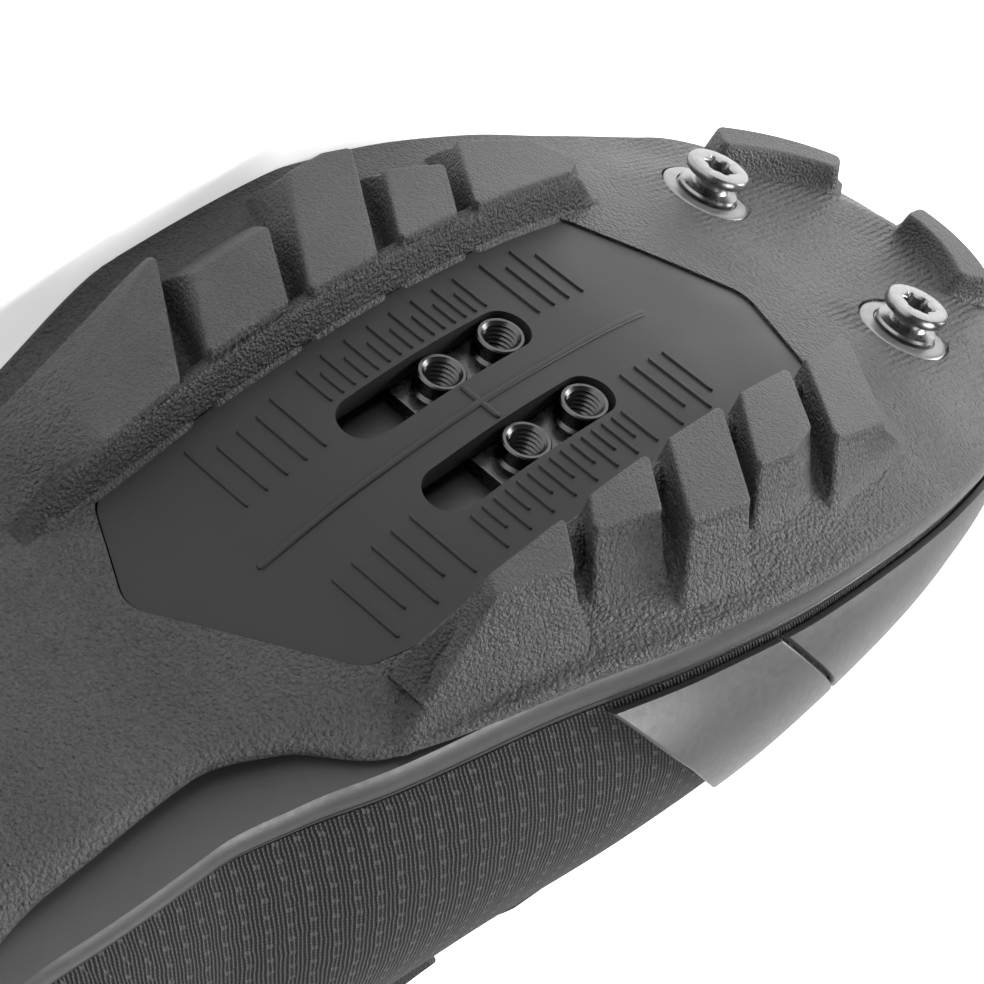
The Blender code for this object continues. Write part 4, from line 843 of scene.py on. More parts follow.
washer_profile = np.array([
    (0.0, 0.0009), (STUD_DISC, 0.0009), (STUD_DISC, 0.0003), (STUD_DISC - 0.0002, 0.0001),
    (STUD_DISC - 0.0007, 0.0000), (STUD_HEAD * 1.02, -0.0001), (STUD_HEAD * 0.97, 0.0001), (0.0, 0.0001)])
stud_steel = steel_finish("stud_steel", 0.22, 0.30)
washer_finish, shader, add, tree = start_finish("washer_tin", (0.30, 0.30, 0.305), 0.38, 0.5, 0.6)
spot = in_millimetres(add)
tree.links.new(blend_grey(add, grain(add, spot, 2.2, 4.0), 0.14, 0.30), shader.inputs["Base Color"])
tree.links.new(bump(add, grain(add, spot, 0.5, 3.0), 0.03), shader.inputs["Normal"])
for (x, y), node in zip(STUD_PLACES, ("toe_stud_lateral", "toe_stud_medial")):
    points, quads = turned(head_profile, stud_place(x, y), 72, lobes)
    head = make_piece(node + "_screw", points, quads, [stud_steel], sharp=35)
    points, quads = turned(washer_profile, stud_place(x, y), 72)
    washer = make_piece(node + "_washer", points, quads, [washer_finish], sharp=35)
    for piece in (head, washer):
        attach(piece, "shoe")
        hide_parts(node)


# Midsole: moulded foam whose smooth skin comes up as a rand round the foot of the upper. It carries
# the cleat plate and a pocket in which the nut slides, and a fine parting line runs round it.
RAND = 0.003
BED_DROP = 0.002
turns = sole_turns(480)
low_outs = np.linspace(0.0, 0.97, 12)[None, :]
turn = np.repeat(turns[:, None], low_outs.shape[1], 1)
under = sole_plan(turn, low_outs * np.where(low_outs < 0.9, rubber_reach(turns)[:, None], 1.0))
under_z = floor_height(under[..., 0]) + shoulder(low_outs) + SHEET + GAP
under = np.concatenate([under, under_z[..., None]], -1)
edge = feather_plan(turns)
normal = plan_normal(turns)
foot_z = floor_height(edge[:, 0]) + shoulder(1.0) + SHEET + GAP
lip_z = feather_height(edge[:, 0])
wall = []
WALL_PARTS = np.concatenate([np.linspace(0.0, 0.60, 10), [0.64, 0.66, 0.68, 0.70, 0.72, 0.76],
                             np.linspace(0.80, 1.0, 8)])
for part in WALL_PARTS:
    bulge = 0.0007 * math.sin(math.pi * part) ** 0.8 if 0 < part < 1 else 0.0
    groove = 0.00035 * math.exp(-((part - 0.69) / 0.018) ** 2)
    roll_in = 0.0006 * (1 - math.sqrt(max(0.0, 1 - max(0.0, (part - 0.90) / 0.10) ** 2)))
    plan = edge + normal * (bulge - groove - roll_in)
    wall.append(np.concatenate([plan, (foot_z + (lip_z - foot_z) * part)[:, None]], 1))
inner = edge - normal * RAND
lip = np.concatenate([inner, feather_height(inner[:, 0])[:, None]], 1)
bed = []
for part in (1.0, 0.6, 0.25, 0.0):
    plan = spine(turns) + (inner - spine(turns)) * part
    bed.append(np.concatenate([plan, (feather_height(plan[:, 0]) - BED_DROP)[:, None]], 1))
grid = np.concatenate([under, np.stack([*wall, lip, *bed], 1)], 1)


def skin_finish(name, grey, roughness):
    """Moulded skin: soft mottling, a faint grain and a satin face."""
    finish, shader, add, tree = start_finish(name, (grey,) * 3, roughness, 0.5)
    spot = in_millimetres(add)
    mottle = grain(add, spot, 16.0, 4.0, 0.55)
    fine = grain(add, spot, 0.22, 3.0, 0.6)
    speck = grain(add, spot, 1.1, 3.0, 0.6)
    tone = math_node(add, "MULTIPLY_ADD", mottle, 0.7, math_node(add, "MULTIPLY", speck, 0.3))
    tree.links.new(blend_grey(add, tone, grey * 0.78, grey * 1.22), shader.inputs["Base Color"])
    gloss = add("MapRange", {"Value": speck, "From Min": 0.3, "From Max": 0.7, "To Min": roughness - 0.05,
                             "To Max": roughness + 0.06})
    tree.links.new(gloss, shader.inputs["Roughness"])
    normal = bump(add, fine, 0.022)
    tree.links.new(bump(add, speck, 0.020, normal), shader.inputs["Normal"])
    return finish


midsole_skin = skin_finish("midsole_skin", 0.030, 0.40)
midsole = make_piece("midsole_moulding", grid, quads_of(*grid.shape[:2], closed=True), [midsole_skin])
nut_room = np.array([(NUT_FORWARD - 0.0249, -0.0124), (NUT_FORWARD + 0.0119, -0.0124),
                     (NUT_FORWARD + 0.0119, 0.0124), (NUT_FORWARD - 0.0249, 0.0124)])
cut_away(midsole, [prism("recess", plate_outline(GAP), -0.02, 0.0045),
                   prism("nut_room", rounded(nut_room, 0.001, 3), 0.0030, 0.0069)])
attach(midsole, "shoe")
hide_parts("midsole")


# Insole: a loose footbed of thin foam with a woven cover, cut a little smaller than the rand.
turns = sole_turns(240)
edge = feather_plan(turns) - plan_normal(turns) * (RAND + 2 * GAP)
rings = []
for part, trim, high in ((0.0, 0.0, 0.0005), (0.5, 0.0, 0.0005), (0.98, 0.0, 0.0005), (1.0, 0.0, 0.0009),
                         (1.0, 0.0, 0.0026), (0.99, 0.0004, 0.0032), (0.97, 0.0006, 0.0035),
                         (0.8, 0.0006, 0.0035), (0.6, 0.0006, 0.0035), (0.4, 0.0006, 0.0035),
                         (0.2, 0.0006, 0.0035), (0.0, 0.0, 0.0035)):
    rim = edge - plan_normal(turns) * trim
    plan = spine(turns) + (rim - spine(turns)) * part
    rings.append(np.concatenate([plan, (feather_height(plan[:, 0]) - BED_DROP + high)[:, None]], 1))
grid = np.stack(rings, 1)


def cloth_finish(name, dark, light, pitch, depth, sheen=0.15):
    """Woven cloth from the piece's own cloth map: threads over and under at a pitch in millimetres."""
    finish, shader, add, tree = start_finish(name, (light,) * 3, 0.85, 0.3)
    shader.inputs["Sheen Weight"].default_value = sheen
    shader.inputs["Sheen Roughness"].default_value = 0.5
    cloth = add("UVMap", settings={"uv_map": "cloth"})
    u = add("SeparateXYZ", {"Vector": cloth}, out=0)
    v = add("SeparateXYZ", {"Vector": cloth}, out=1)
    wave_u = math_node(add, "SINE", math_node(add, "MULTIPLY", u, 2 * math.pi / pitch))
    wave_v = math_node(add, "SINE", math_node(add, "MULTIPLY", v, 2 * math.pi / pitch))
    weave = math_node(add, "MULTIPLY_ADD", math_node(add, "MULTIPLY", wave_u, wave_v), 0.5, 0.5)
    fuzz = grain(add, in_millimetres(add), 0.5, 3.0)
    tone = math_node(add, "MULTIPLY_ADD", weave, 0.6, math_node(add, "MULTIPLY", fuzz, 0.4))
    tree.links.new(blend_grey(add, tone, dark, light), shader.inputs["Base Color"])
    normal = bump(add, weave, depth)
    tree.links.new(bump(add, fuzz, depth * 0.5, normal), shader.inputs["Normal"])
    return finish


bed_cloth = cloth_finish("bed_cloth", 0.020, 0.050, 0.9, 0.10)
insole = make_piece("insole_footbed", grid, quads_of(*grid.shape[:2], closed=True), [bed_cloth],
                    cloth_map=grid[..., :2] * 1000)
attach(insole, "shoe")
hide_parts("insole")


# Upper: rip-stop mesh bonded over a thin lining, drawn over the last. Each rib is a cubic from the
# feather line up to the ridge over the foot or to the collar, which is padded.
WALL = 0.002
COLLAR_PAD = 0.003
RIB_LINE = columns(
    "along top high middle half rise swell reach lift open",
    (0.000, -0.014, 0.770, -0.070, 0.000, 0.22, 0.085, 0.015, -0.13, 0.00),
    (0.020, 0.004, 0.750, -0.070, 0.155, 0.22, 0.085, 0.015, -0.13, 0.00),
    (0.070, 0.055, 0.700, -0.072, 0.300, 0.22, 0.095, 0.020, -0.13, 0.00),
    (0.140, 0.125, 0.672, -0.075, 0.375, 0.22, 0.125, 0.020, -0.13, 0.00),
    (0.220, 0.205, 0.705, -0.078, 0.375, 0.24, 0.160, 0.020, -0.14, 0.00),
    (0.300, 0.275, 0.845, -0.070, 0.290, 0.27, 0.185, 0.060, -0.14, 0.00),
    (0.335, 0.310, 0.945, -0.060, 0.150, 0.29, 0.190, 0.150, -0.07, 0.02),
    (0.370, 0.345, 1.000, -0.050, 0.000, 0.30, 0.190, 0.240, 0.00, 0.13),
    (0.440, 0.410, 0.920, -0.035, 0.000, 0.27, 0.190, 0.300, 0.00, 0.14),
    (0.520, 0.490, 0.825, -0.010, 0.000, 0.24, 0.190, 0.330, 0.00, 0.13),
    (0.610, 0.575, 0.745, 0.010, 0.000, 0.22, 0.180, 0.330, 0.00, 0.12),
    (0.675, 0.635, 0.703, 0.025, 0.000, 0.21, 0.160, 0.325, 0.00, 0.09),
    (0.700, 0.657, 0.689, 0.030, 0.000, 0.20, 0.150, 0.320, 0.00, 0.00),
    (0.780, 0.730, 0.652, 0.040, 0.000, 0.18, 0.115, 0.310, 0.00, 0.00),
    (0.860, 0.800, 0.622, 0.045, 0.000, 0.16, 0.075, 0.280, 0.00, 0.00),
    (0.930, 0.860, 0.598, 0.048, 0.000, 0.14, 0.045, 0.220, 0.00, 0.00),
    (0.975, 0.895, 0.578, 0.050, 0.000, 0.13, 0.025, 0.170, 0.00, 0.00),
    (1.000, 0.911, 0.568, 0.050, 0.000, 0.13, 0.015, 0.140, 0.00, 0.00),
)


def rib(turn, up):
    """Outside of the upper: a cubic from the feather line to the ridge or the collar."""
    along = (1 + np.cos(turn)) / 2
    side = np.where(np.sin(turn) >= 0, 1.0, -1.0)
    column = {name: read(RIB_LINE, name, along) for name in RIB_LINE if name != "along"}
    foot = feather_plan(turn)
    normal = plan_normal(turn)
    start = np.concatenate([foot, feather_height(foot[..., 0])[..., None] + GAP], -1)
    top_x = TOE - LENGTH + LENGTH * column["top"]
    top_y = BALL * (column["middle"] + side * column["half"])
    top = np.stack([top_x, top_y, INSTEP * column["high"]], -1)
    past, short = np.clip(along + 0.002, 0.0, 1.0), np.clip(along - 0.002, 0.0, 1.0)
    climb = INSTEP * (read(RIB_LINE, "high", past) - read(RIB_LINE, "high", short))
    travel = LENGTH * (read(RIB_LINE, "top", past) - read(RIB_LINE, "top", short))
    on_ridge = np.where(column["half"] <= 0, 1.0, 0.0)
    reach = BALL * column["reach"]
    leave = np.concatenate([normal * (BALL * column["swell"])[..., None],
                            (INSTEP * column["rise"])[..., None]], -1)
    drop = INSTEP * column["lift"] + reach * normal[..., 0] * on_ridge * climb / travel
    arrive = np.concatenate([normal * reach[..., None], drop[..., None]], -1)
    up = np.asarray(up)[..., None]
    return ((1 - up) ** 3 * start + 3 * (1 - up) ** 2 * up * (start + leave)
            + 3 * (1 - up) * up**2 * (top + arrive) + up**3 * top)


def rib_normal(turn, up):
    """Direction out of the upper, the same on both sides of the ridge."""
    def one_side(turn):
        level = np.clip(up, 0.004, 0.980)
        round_it = rib(turn + 0.003, level) - rib(turn - 0.003, level)
        along_it = rib(turn, level + 0.003) - rib(turn, level - 0.003)
        out = np.cross(round_it, along_it)
        return out / np.linalg.norm(out, axis=-1, keepdims=True)

    ridge = np.where(read(RIB_LINE, "half", (1 + np.cos(turn)) / 2) <= 0, 1.0, 0.0)
    normal = one_side(turn) + one_side(-turn) * (ridge * ease((np.asarray(up) - 0.86) / 0.14))[..., None]
    return normal / np.linalg.norm(normal, axis=-1, keepdims=True)


def crease(point):
    """Flex folds over the ball and soft dents at the ankle: troughs across the shoe's length."""
    x, y, z = point[..., 0], point[..., 1], point[..., 2]
    over = ease((z - 0.040) / 0.015)
    fold = 0.0
    for where, slant, deep, wide in ((0.036, 0.10, 0.0007, 0.0030), (0.023, -0.06, 0.0009, 0.0034),
                                     (0.010, 0.12, 0.0006, 0.0030)):
        fold = fold + deep * np.exp(-((x - where - slant * y) / wide) ** 2) * over * ease((0.062 - z) / 0.006)
    dent = 0.0012 * np.exp(-((x + 0.098) / 0.014) ** 2 - ((z - 0.050) / 0.010) ** 2)
    return -(fold + dent)


def skin(turn, up, out=0.0):
    """Outside of the upper with its creases, moved out by a length."""
    turn, up = np.broadcast_arrays(np.asarray(turn, float), np.asarray(up, float))
    point = rib(turn, up)
    return point + rib_normal(turn, up) * (np.asarray(out) + crease(point))[..., None]


def rib_map(turn, up):
    """Cloth map in millimetres: along the shoe, and down the rib from the ridge or the collar."""
    steps = np.linspace(0.0, 1.0, 25)
    track = rib(np.repeat(turn[:, :1], 25, 1), np.repeat(steps[None], len(turn), 0))
    run = np.concatenate([np.zeros((len(turn), 1)),
                          np.cumsum(np.linalg.norm(np.diff(track, axis=1), axis=-1), axis=1)], 1)
    down = run[:, -1:] - np.stack([np.interp(u, steps, r) for u, r in zip(up, run)])
    side = np.where(np.sin(turn) >= 0, 1.0, -1.0)
    along = rib(turn, up)[..., 0]
    return np.stack([along, side * down], -1) * 1000


def mesh_finish(name):
    """Rip-stop mesh: beaded threads up the ribs 0.5 mm apart, with a paler knot every few threads."""
    finish, shader, add, tree = start_finish(name, (0.05,) * 3, 0.72, 0.20)
    shader.inputs["Sheen Weight"].default_value = 0.04
    cloth = add("UVMap", settings={"uv_map": "cloth"})
    wander = add("TexNoise", {"Vector": cloth, "Scale": 0.35, "Detail": 2.0}, out=1)
    shift = add("VectorMath", {0: wander, 1: (-0.5, -0.5, -0.5)}, {"operation": "ADD"})
    drift = add("VectorMath", {0: shift, "Scale": 0.5}, {"operation": "SCALE"})
    cloth = add("VectorMath", {0: cloth, 1: drift}, {"operation": "ADD"})
    u = add("SeparateXYZ", {"Vector": cloth}, out=0)
    v = add("SeparateXYZ", {"Vector": cloth}, out=1)
    thread = math_node(add, "SINE", math_node(add, "MULTIPLY", u, 2 * math.pi / 0.50))
    offset = math_node(add, "MULTIPLY", math_node(add, "FLOOR", math_node(add, "MULTIPLY", u, 2.0)), 0.25)
    up_thread = math_node(add, "ADD", v, offset)
    bead = math_node(add, "SINE", math_node(add, "MULTIPLY", up_thread, 2 * math.pi / 0.52))
    ridge = math_node(add, "POWER", math_node(add, "MULTIPLY_ADD", thread, 0.5, 0.5), 1.8)
    beads = math_node(add, "MULTIPLY_ADD", bead, 0.25, 0.75)
    yarn = math_node(add, "MULTIPLY", ridge, beads)
    knot_u = math_node(add, "COSINE", math_node(add, "MULTIPLY", u, 2 * math.pi / 2.5))
    lean = math_node(add, "MULTIPLY_ADD", u, 0.35, v)
    knot_v = math_node(add, "COSINE", math_node(add, "MULTIPLY", lean, 2 * math.pi / 2.4))
    crossing = math_node(add, "ADD", knot_u, knot_v)
    knot = add("MapRange", {"Value": crossing, "From Min": 1.35, "From Max": 1.85})
    heavy = add("MapRange", {"Value": knot_u, "From Min": 0.80, "From Max": 1.0})
    fuzz = grain(add, cloth, 0.35, 3.0, 0.65)
    tone = math_node(add, "MULTIPLY", yarn, math_node(add, "MULTIPLY_ADD", fuzz, 0.9, 0.45))
    base = blend_grey(add, tone, 0.002, 0.120)
    paler = math_node(add, "MULTIPLY_ADD", heavy, 0.08, math_node(add, "MULTIPLY", knot, 0.45))
    colour = add("Mix", {0: paler, 6: base, 7: (0.12, 0.12, 0.12, 1.0)}, {"data_type": "RGBA"}, out=2)
    tree.links.new(colour, shader.inputs["Base Color"])
    normal = bump(add, yarn, 0.30)
    tree.links.new(bump(add, knot, 0.08, normal), shader.inputs["Normal"])
    return finish


turns = np.arange(420) * 2 * math.pi / 420
along = (1 + np.cos(turns)) / 2
opened = read(RIB_LINE, "open", along)
half = read(RIB_LINE, "half", along)
welded = (opened <= 0) & (half <= 0)
levels = np.concatenate([np.linspace(0.0, 0.965, 58), [0.975, 0.984, 0.991, 0.996, 1.0]])
up = levels[None, :] * (1 - opened)[:, None]
turn = np.repeat(turns[:, None], len(levels), 1)
wall = WALL + COLLAR_PAD * ease(half / 0.15)[:, None] * ease((levels - 0.55) / 0.35)[None, :]
near = np.clip((levels - 0.965) / 0.035, 0.0, 1.0)[None, :] * ~welded[:, None]
pull = wall / 2 * (1 - np.sqrt(np.clip(1 - near**2, 0.0, 1.0)))
outer = skin(turn, up, -pull)
lining = skin(turn, up, -wall + pull)
count, height = turn.shape
points = np.concatenate([outer.reshape(-1, 3), lining.reshape(-1, 3)])
size = count * height
outer_faces = quads_of(count, height, closed=True)
lining_faces = quads_of(count, height, first=size, closed=True, flip=True)
i = np.arange(count)
k = (i + 1) % count
foot = np.stack([k * height, i * height, size + i * height, size + k * height], 1)
ends = ~(welded & welded[k])
here = i * height + height - 1
there = k * height + height - 1
rims = np.stack([here, there, size + there, size + here], 1)[ends]
quads = np.concatenate([outer_faces, lining_faces, foot, rims])
slots = np.concatenate([np.zeros(len(outer_faces)), np.ones(len(quads) - len(outer_faces))])
cloth = rib_map(turn, up)
upper_mesh = mesh_finish("upper_mesh")
lining_cloth = cloth_finish("lining_cloth", 0.018, 0.042, 0.8, 0.08, 0.3)
upper = make_piece("upper_shell", points, quads, [upper_mesh, lining_cloth],
                   cloth_map=np.concatenate([cloth.reshape(-1, 2)] * 2), slots=slots)
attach(upper, "shoe")
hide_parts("upper")


# Overlays: thin moulded film welded to the mesh over toe, sides and heel. The side pieces meet the
# toe cap in a fine open seam, and their edges are pressed down and catch the light.
FILM = 0.0009
OVERLAYS = {
    "toe_cap": columns("start stop foot top lean", (-0.3984, 0.3984, 0.009, 0.58, 0.18)),
    "overlay_medial": columns("start stop foot top lean", (0.3997, 0.459, 0.009, 0.50, 0.18)),
    "overlay_lateral": columns("start stop foot top lean", (-0.459, -0.3997, 0.009, 0.50, 0.18)),
    "heel_counter": columns("start stop foot top lean", (0.750, 1.250, 0.015, 0.46, 0.0)),
}


def spread(count, edge):
    """Shares from 0 to 1, close together at both ends."""
    t = np.linspace(0.0, 1.0, count)
    return t - edge * np.sin(2 * math.pi * t) / (2 * math.pi)


def pillow(rows, cols, edge_rows, edge_cols):
    """Thickness share of a sheet with quarter-round edges, from its distance to them."""
    a = np.clip(np.minimum(rows, 1 - rows) / edge_rows, 0.0, 1.0)
    b = np.clip(np.minimum(cols, 1 - cols) / edge_cols, 0.0, 1.0)
    return np.sqrt(1 - (1 - a) ** 2) * np.sqrt(1 - (1 - b) ** 2)


def sheet_faces(count, height):
    """Faces of a closed sheet: an outer and an inner grid of points, joined round all four sides."""
    size = count * height
    faces = [quads_of(count, height), quads_of(count, height, first=size, flip=True)]
    i, j = np.arange(count - 1), np.arange(height - 1)
    for row in (0, count - 1):
        a = row * height + j
        faces.append(np.stack([a, a + 1, size + a + 1, size + a], 1))
    for col in (0, height - 1):
        a = i * height + col
        faces.append(np.stack([a, a + height, size + a + height, size + a], 1))
    return np.concatenate(faces)


def film_piece(name, node, turn, up, thick, finish, edges, cloth_map=None, gap=1.5 * GAP, surface=skin):
    """A closed sheet on the upper: inner face on the skin, outer face with rounded edges."""
    rows = np.linspace(0.0, 1.0, turn.shape[0])[:, None] + 0 * turn
    cols = np.linspace(0.0, 1.0, turn.shape[1])[None, :] + 0 * turn
    puff = 0.12 + 0.88 * pillow(rows, cols, *edges)
    outer, inner = surface(turn, up, gap + thick * puff), surface(turn, up, gap)
    points = np.concatenate([outer.reshape(-1, 3), inner.reshape(-1, 3)])
    mapping = None if cloth_map is None else np.concatenate([cloth_map.reshape(-1, 2)] * 2)
    piece = make_piece(name, points, sheet_faces(*turn.shape), [finish], cloth_map=mapping, sharp=60)
    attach(piece, "shoe")
    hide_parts(node)
    return piece


film_skin = skin_finish("film_skin", 0.062, 0.42)
for node, table in OVERLAYS.items():
    size = {key: float(values[0]) for key, values in table.items()}
    wide = (size["stop"] - size["start"]) * 150
    across = spread(max(40, int(wide * 1.6)), 0.75)[:, None]
    high = spread(46, 0.75)[None, :]
    up = size["foot"] + (size["top"] - size["foot"]) * high + 0 * across
    forward = size["lean"] * (up - size["foot"])
    if node in ("toe_cap", "heel_counter"):
        begin, end = size["start"] + forward, size["stop"] - forward
    elif node == "overlay_medial":
        begin, end = size["start"] - forward, size["stop"] - forward
    else:
        begin, end = size["start"] + forward, size["stop"] + forward
    turn = math.pi * (begin + (end - begin) * across)
    piece = film_piece(node + "_film", node, turn, up, FILM, film_skin, (0.7 / wide, 0.016))


# Tongue: lining cloth over thin foam, free at its sides, under the throat. It curls up in front of
# the ankle at its top, and sewn channels cross it.
TONGUE = columns(
    "along half",
    (-0.10, 0.16), (0.20, 0.22), (0.75, 0.24), (0.92, 0.19), (1.04, 0.125), (1.25, 0.120), (1.36, 0.080),
)
TONGUE_FRONT, TONGUE_BACK, TONGUE_THICK = 0.67, 0.37, 0.004
TONGUE_CURL = math.radians(38)


def over_ridge(turn, across, out):
    """A point on the skin, from the outer side (-1) over the ridge (0) to the inner side (1)."""
    return skin(np.where(across >= 0, turn, -turn), 1 - np.abs(across), out)


count = 120
along = np.linspace(TONGUE["along"][0], TONGUE["along"][-1], count)
half = smooth(TONGUE["along"], TONGUE["half"], along)
part = spread(41, 0.6) * 2 - 1
across = part[None, :] * half[:, None]
foot_share = TONGUE_FRONT + (TONGUE_BACK - TONGUE_FRONT) * np.clip(along, None, 1.0)
turn = np.arccos(np.clip(2 * foot_share - 1, -1, 1))[:, None] + 0 * across
depth = (WALL + 3 * GAP + COLLAR_PAD * ease((along - 0.6) / 0.4))[:, None] + 0 * across
ends = np.linspace(0.0, 1.0, count)[:, None] + 0 * across
sides = (part[None, :] + 1) / 2 + 0 * across
round_edge = pillow(ends, sides, 0.03, 0.07)
channel = 0.0
for where in (0.12, 0.30, 0.48, 0.66, 0.84):
    channel = channel + np.exp(-((ends - where) / 0.008) ** 2)
puff = np.clip(round_edge * (1 - 0.30 * channel), 0.08, 1.0)
middle = depth + TONGUE_THICK / 2
outer = over_ridge(turn, across, -middle + TONGUE_THICK / 2 * puff)
inner = over_ridge(turn, across, -middle - TONGUE_THICK / 2 * puff)
last = int(np.searchsorted(along, 1.0)) - 1
rise = (skin(np.array(turn[last, 0]), np.array(1.0)) - skin(np.array(turn[last - 4, 0]), np.array(1.0)))
rise = rise / np.linalg.norm(rise)
ahead = np.array([rise[2], 0.0, -rise[0]])
curl = TONGUE_CURL * np.clip((along - along[last]) / (along[-1] - along[last]), 0.0, 1.0)
step = LENGTH * (TONGUE_FRONT - TONGUE_BACK) * np.diff(along, prepend=along[0])
way = rise * np.cos(curl)[:, None] + ahead * np.sin(curl)[:, None]
slide = np.cumsum(np.where((along > along[last])[:, None], way * step[:, None], 0.0), axis=0)
outer[last + 1:] += slide[last + 1:, None, :]
inner[last + 1:] += slide[last + 1:, None, :]
cloth = np.stack([(along * LENGTH * 0.3 * 1000)[:, None] + 0 * across, across * 110], -1)
tongue_cloth = cloth_finish("tongue_cloth", 0.022, 0.055, 0.9, 0.10, 0.3)
tongue = make_piece("tongue_pad", np.concatenate([outer.reshape(-1, 3), inner.reshape(-1, 3)]),
                    sheet_faces(*across.shape), [tongue_cloth],
                    cloth_map=np.concatenate([cloth.reshape(-1, 2)] * 2), sharp=70)
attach(tongue, "shoe")
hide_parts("tongue")


# Straps: three flat bands of coated cloth over the throat, stitched down on the outer side and held
# by hook and loop on the inner side. A row of stitches runs inside each edge.
STRAP = 0.0018
STRAPS = columns(
    "start wide medial lateral",
    (0.400, 0.042, 0.46, 0.52), (0.458, 0.042, 0.46, 0.52), (0.516, 0.046, 0.44, 0.50),
)
# A stitch's rings: share of its length, height and breadth in shares of the thread's thickness
STITCH_RINGS = ((0.0, -0.3, 0.5), (0.15, 0.45, 0.9), (0.5, 0.75, 1.0), (0.85, 0.45, 0.9), (1.0, -0.3, 0.5))
strap_cloth = cloth_finish("strap_cloth", 0.022, 0.045, 0.7, 0.06, 0.1)
stitches = []


def stitch(start, end, out, thick=0.00035):
    """A short thread from one hole to the next, humped in the middle."""
    ahead = (end - start)
    long = np.linalg.norm(ahead, axis=-1, keepdims=True)
    ahead = ahead / long
    side = np.cross(ahead, out)
    spin = np.arange(6) * math.pi / 3
    rings = []
    for part, hump, wide in STITCH_RINGS:
        centre = start + ahead * long * part + out * thick * hump
        rings.append(centre[:, None, :] + thick / 2 * wide * (
            np.cos(spin)[None, :, None] * side[:, None, :] + np.sin(spin)[None, :, None] * out[:, None, :]))
    return np.stack(rings, 1)


def stitch_row(line, out, length=0.0024, gap=0.0009):
    """Stitches at a steady pitch along a line of points with their outward directions."""
    run = np.concatenate([[0.0], np.cumsum(np.linalg.norm(np.diff(line, axis=0), axis=1))])
    starts = np.arange(0.001, run[-1] - length, length + gap)

    def at(spots, values):
        return np.stack([np.interp(spots, run, values[:, column]) for column in range(3)], -1)

    outward = at(starts + length / 2, out)
    outward = outward / np.linalg.norm(outward, axis=-1, keepdims=True)
    return stitch(at(starts, line), at(starts + length, line), outward)


def drawn_in(ends, reach):
    """How much a strap narrows towards its end: a quarter circle over a share of its length."""
    return 0.45 * (1 - np.sqrt(1 - np.clip(1 - ends / reach, 0, 1) ** 2))


for number in range(3):
    size = {key: float(values[number]) for key, values in STRAPS.items()}
    across = np.concatenate([np.linspace(-size["lateral"], 0.0, 45)[:-1],
                             np.linspace(0.0, size["medial"], 50)])[:, None]
    wide = spread(25, 0.7)[None, :]
    ends = np.linspace(0.0, 1.0, len(across))[:, None]
    nip = 1 - drawn_in(ends, 0.05) - drawn_in(1 - ends, 0.07)
    turn = math.pi * (size["start"] + size["wide"] * (0.5 + (wide - 0.5) * nip)) + 0 * across
    over = across + 0 * turn
    cloth = np.stack([turn * 140, over * 110], -1)
    piece = film_piece("strap_band_" + str(number + 1), "strap_" + str(number + 1), turn, over, STRAP,
                       strap_cloth, (0.012, 0.06), cloth_map=cloth, gap=GAP, surface=over_ridge)
    for column in (3, 21):
        track = over_ridge(turn[:, column], over[:, column], GAP + STRAP)
        up_there = over_ridge(turn[:, column], over[:, column], GAP + STRAP + 0.001) - track
        stitches.append(stitch_row(track[3:-3], up_there[3:-3]))

# Thread: every visible row of stitches as one piece, in bonded nylon, a little paler than the cloth.
rows = []
for grid in stitches:
    for single in grid:
        closed = np.concatenate([np.repeat(single[:1].mean(1, keepdims=True), 6, 1), single,
                                 np.repeat(single[-1:].mean(1, keepdims=True), 6, 1)], 0)
        ring = np.transpose(closed, (1, 0, 2))
        rows.append((ring, quads_of(ring.shape[0], ring.shape[1], closed=True)))
points, quads = join_pieces(rows)
thread_nylon = nylon_finish("thread_nylon", 0.07)
thread = make_piece("stitching", points, quads, [thread_nylon], sharp=80)
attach(thread, "shoe")


# Floor, light and camera: a pale studio sweep, with a soft box over the toe, a weaker one above the shoe and
# little light from the room. The paper also glows by itself, more strongly further back. This is painted
# light: it makes the paper show white and washes out the shoe's shadow on it.
sweep = [(-3.0, 0.0), (-0.5, 0.0), (0.0, 0.0), (0.9, 0.0)]
sweep += [(0.9 + 0.6 * math.sin(a), 0.6 - 0.6 * math.cos(a)) for a in np.linspace(0.1, 0.5 * math.pi, 12)]
sweep += [(1.5, 3.0)]
floor_points = [(x, y, z) for x in (-3.0, 3.0) for y, z in sweep]
floor_quads = [(i, len(sweep) + i, len(sweep) + i + 1, i + 1) for i in range(len(sweep) - 1)]
floor_mesh = bpy.data.meshes.new("studio_floor")
floor_mesh.from_pydata(floor_points, [], floor_quads)
floor_mesh.shade_smooth()
floor_finish, shader, add, tree = start_finish("studio_paper", (0.88, 0.88, 0.88), 0.9, 0.1)
depth_there = add("SeparateXYZ", {"Vector": add("TexCoord", out=3)}, out=1)
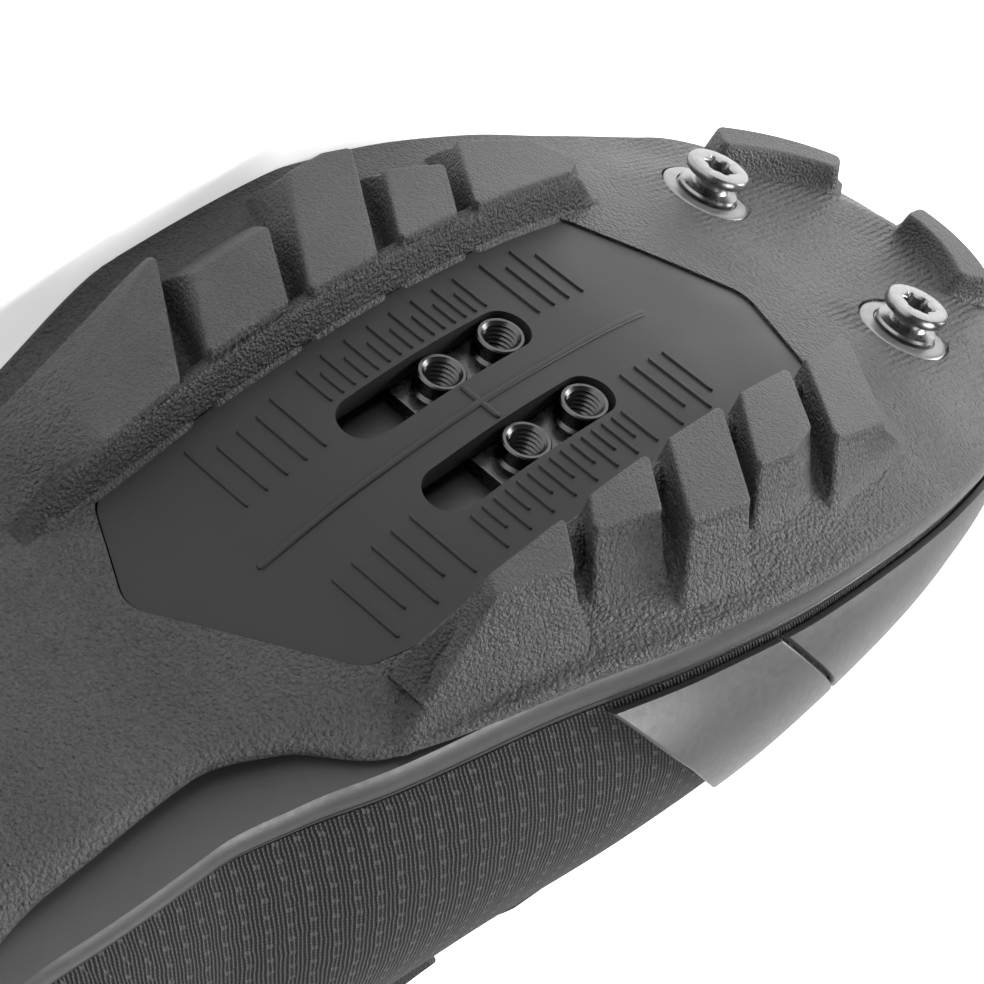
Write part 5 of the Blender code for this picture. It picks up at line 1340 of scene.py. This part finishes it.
# Painted light: the floor's own emission rises towards the back, so it shows white and the shoe's cast shadow
# on it is washed out.
painted_floor_glow = add("MapRange", {"Value": depth_there, "From Min": -0.12, "From Max": 0.25,
                        "To Min": 0.45, "To Max": 0.95})
shader.inputs["Emission Color"].default_value = (1.0, 1.0, 1.0, 1.0)
tree.links.new(painted_floor_glow, shader.inputs["Emission Strength"])
floor_mesh.materials.append(floor_finish)
studio_floor = bpy.data.objects.new("studio_floor", floor_mesh)
bpy.context.collection.objects.link(studio_floor)

world = bpy.data.worlds.new("studio")
bpy.context.scene.world = world
world.use_nodes = True
world.node_tree.nodes["Background"].inputs["Color"].default_value = (1.0, 1.0, 1.0, 1.0)
world.node_tree.nodes["Background"].inputs["Strength"].default_value = 0.16

LIGHTS = {
    "toe_box": ((-0.75, -0.30, 0.50), 0.40, 9.5),
    "top_box": ((0.0, -0.20, 0.80), 0.35, 6.0),
}
for name, (spot, side, power) in LIGHTS.items():
    lamp = bpy.data.lights.new(name, "AREA")
    lamp.shape, lamp.size, lamp.energy = "SQUARE", side, power
    box_light = bpy.data.objects.new(name, lamp)
    bpy.context.collection.objects.link(box_light)
    aim = Vector((-0.03, -0.04, 0.05)) - Vector(spot)
    box_light.location = spot
    box_light.rotation_euler = aim.to_track_quat("-Z", "Y").to_euler()

# The camera's place and directions in the shoe's own frame, fitted to the two slots and the plate
EYE = (-0.17866, 0.10246, -0.19439)
RIGHT = np.array([0.6493, 0.7281, -0.2197])
FORWARD = np.array([0.6170, -0.3354, 0.7118])
FORWARD /= np.linalg.norm(FORWARD)
RIGHT -= FORWARD * (RIGHT @ FORWARD)
RIGHT /= np.linalg.norm(RIGHT)
facing = np.stack([SHOE @ RIGHT, SHOE @ np.cross(RIGHT, FORWARD), -(SHOE @ FORWARD)], 1)
photo_lens = bpy.data.cameras.new("photo_camera")
photo_lens.lens, photo_lens.sensor_width, photo_lens.sensor_fit = 86.75, 36.0, "HORIZONTAL"
photo_lens.clip_start = 0.01
camera = bpy.data.objects.new("photo_camera", photo_lens)
bpy.context.collection.objects.link(camera)
camera.matrix_world = Matrix.Translation(place(EYE).tolist()) @ Matrix(facing.tolist()).to_4x4()
bpy.context.scene.camera = camera
bpy.context.scene.view_settings.view_transform = "Standard"

bpy.context.view_layer.update()
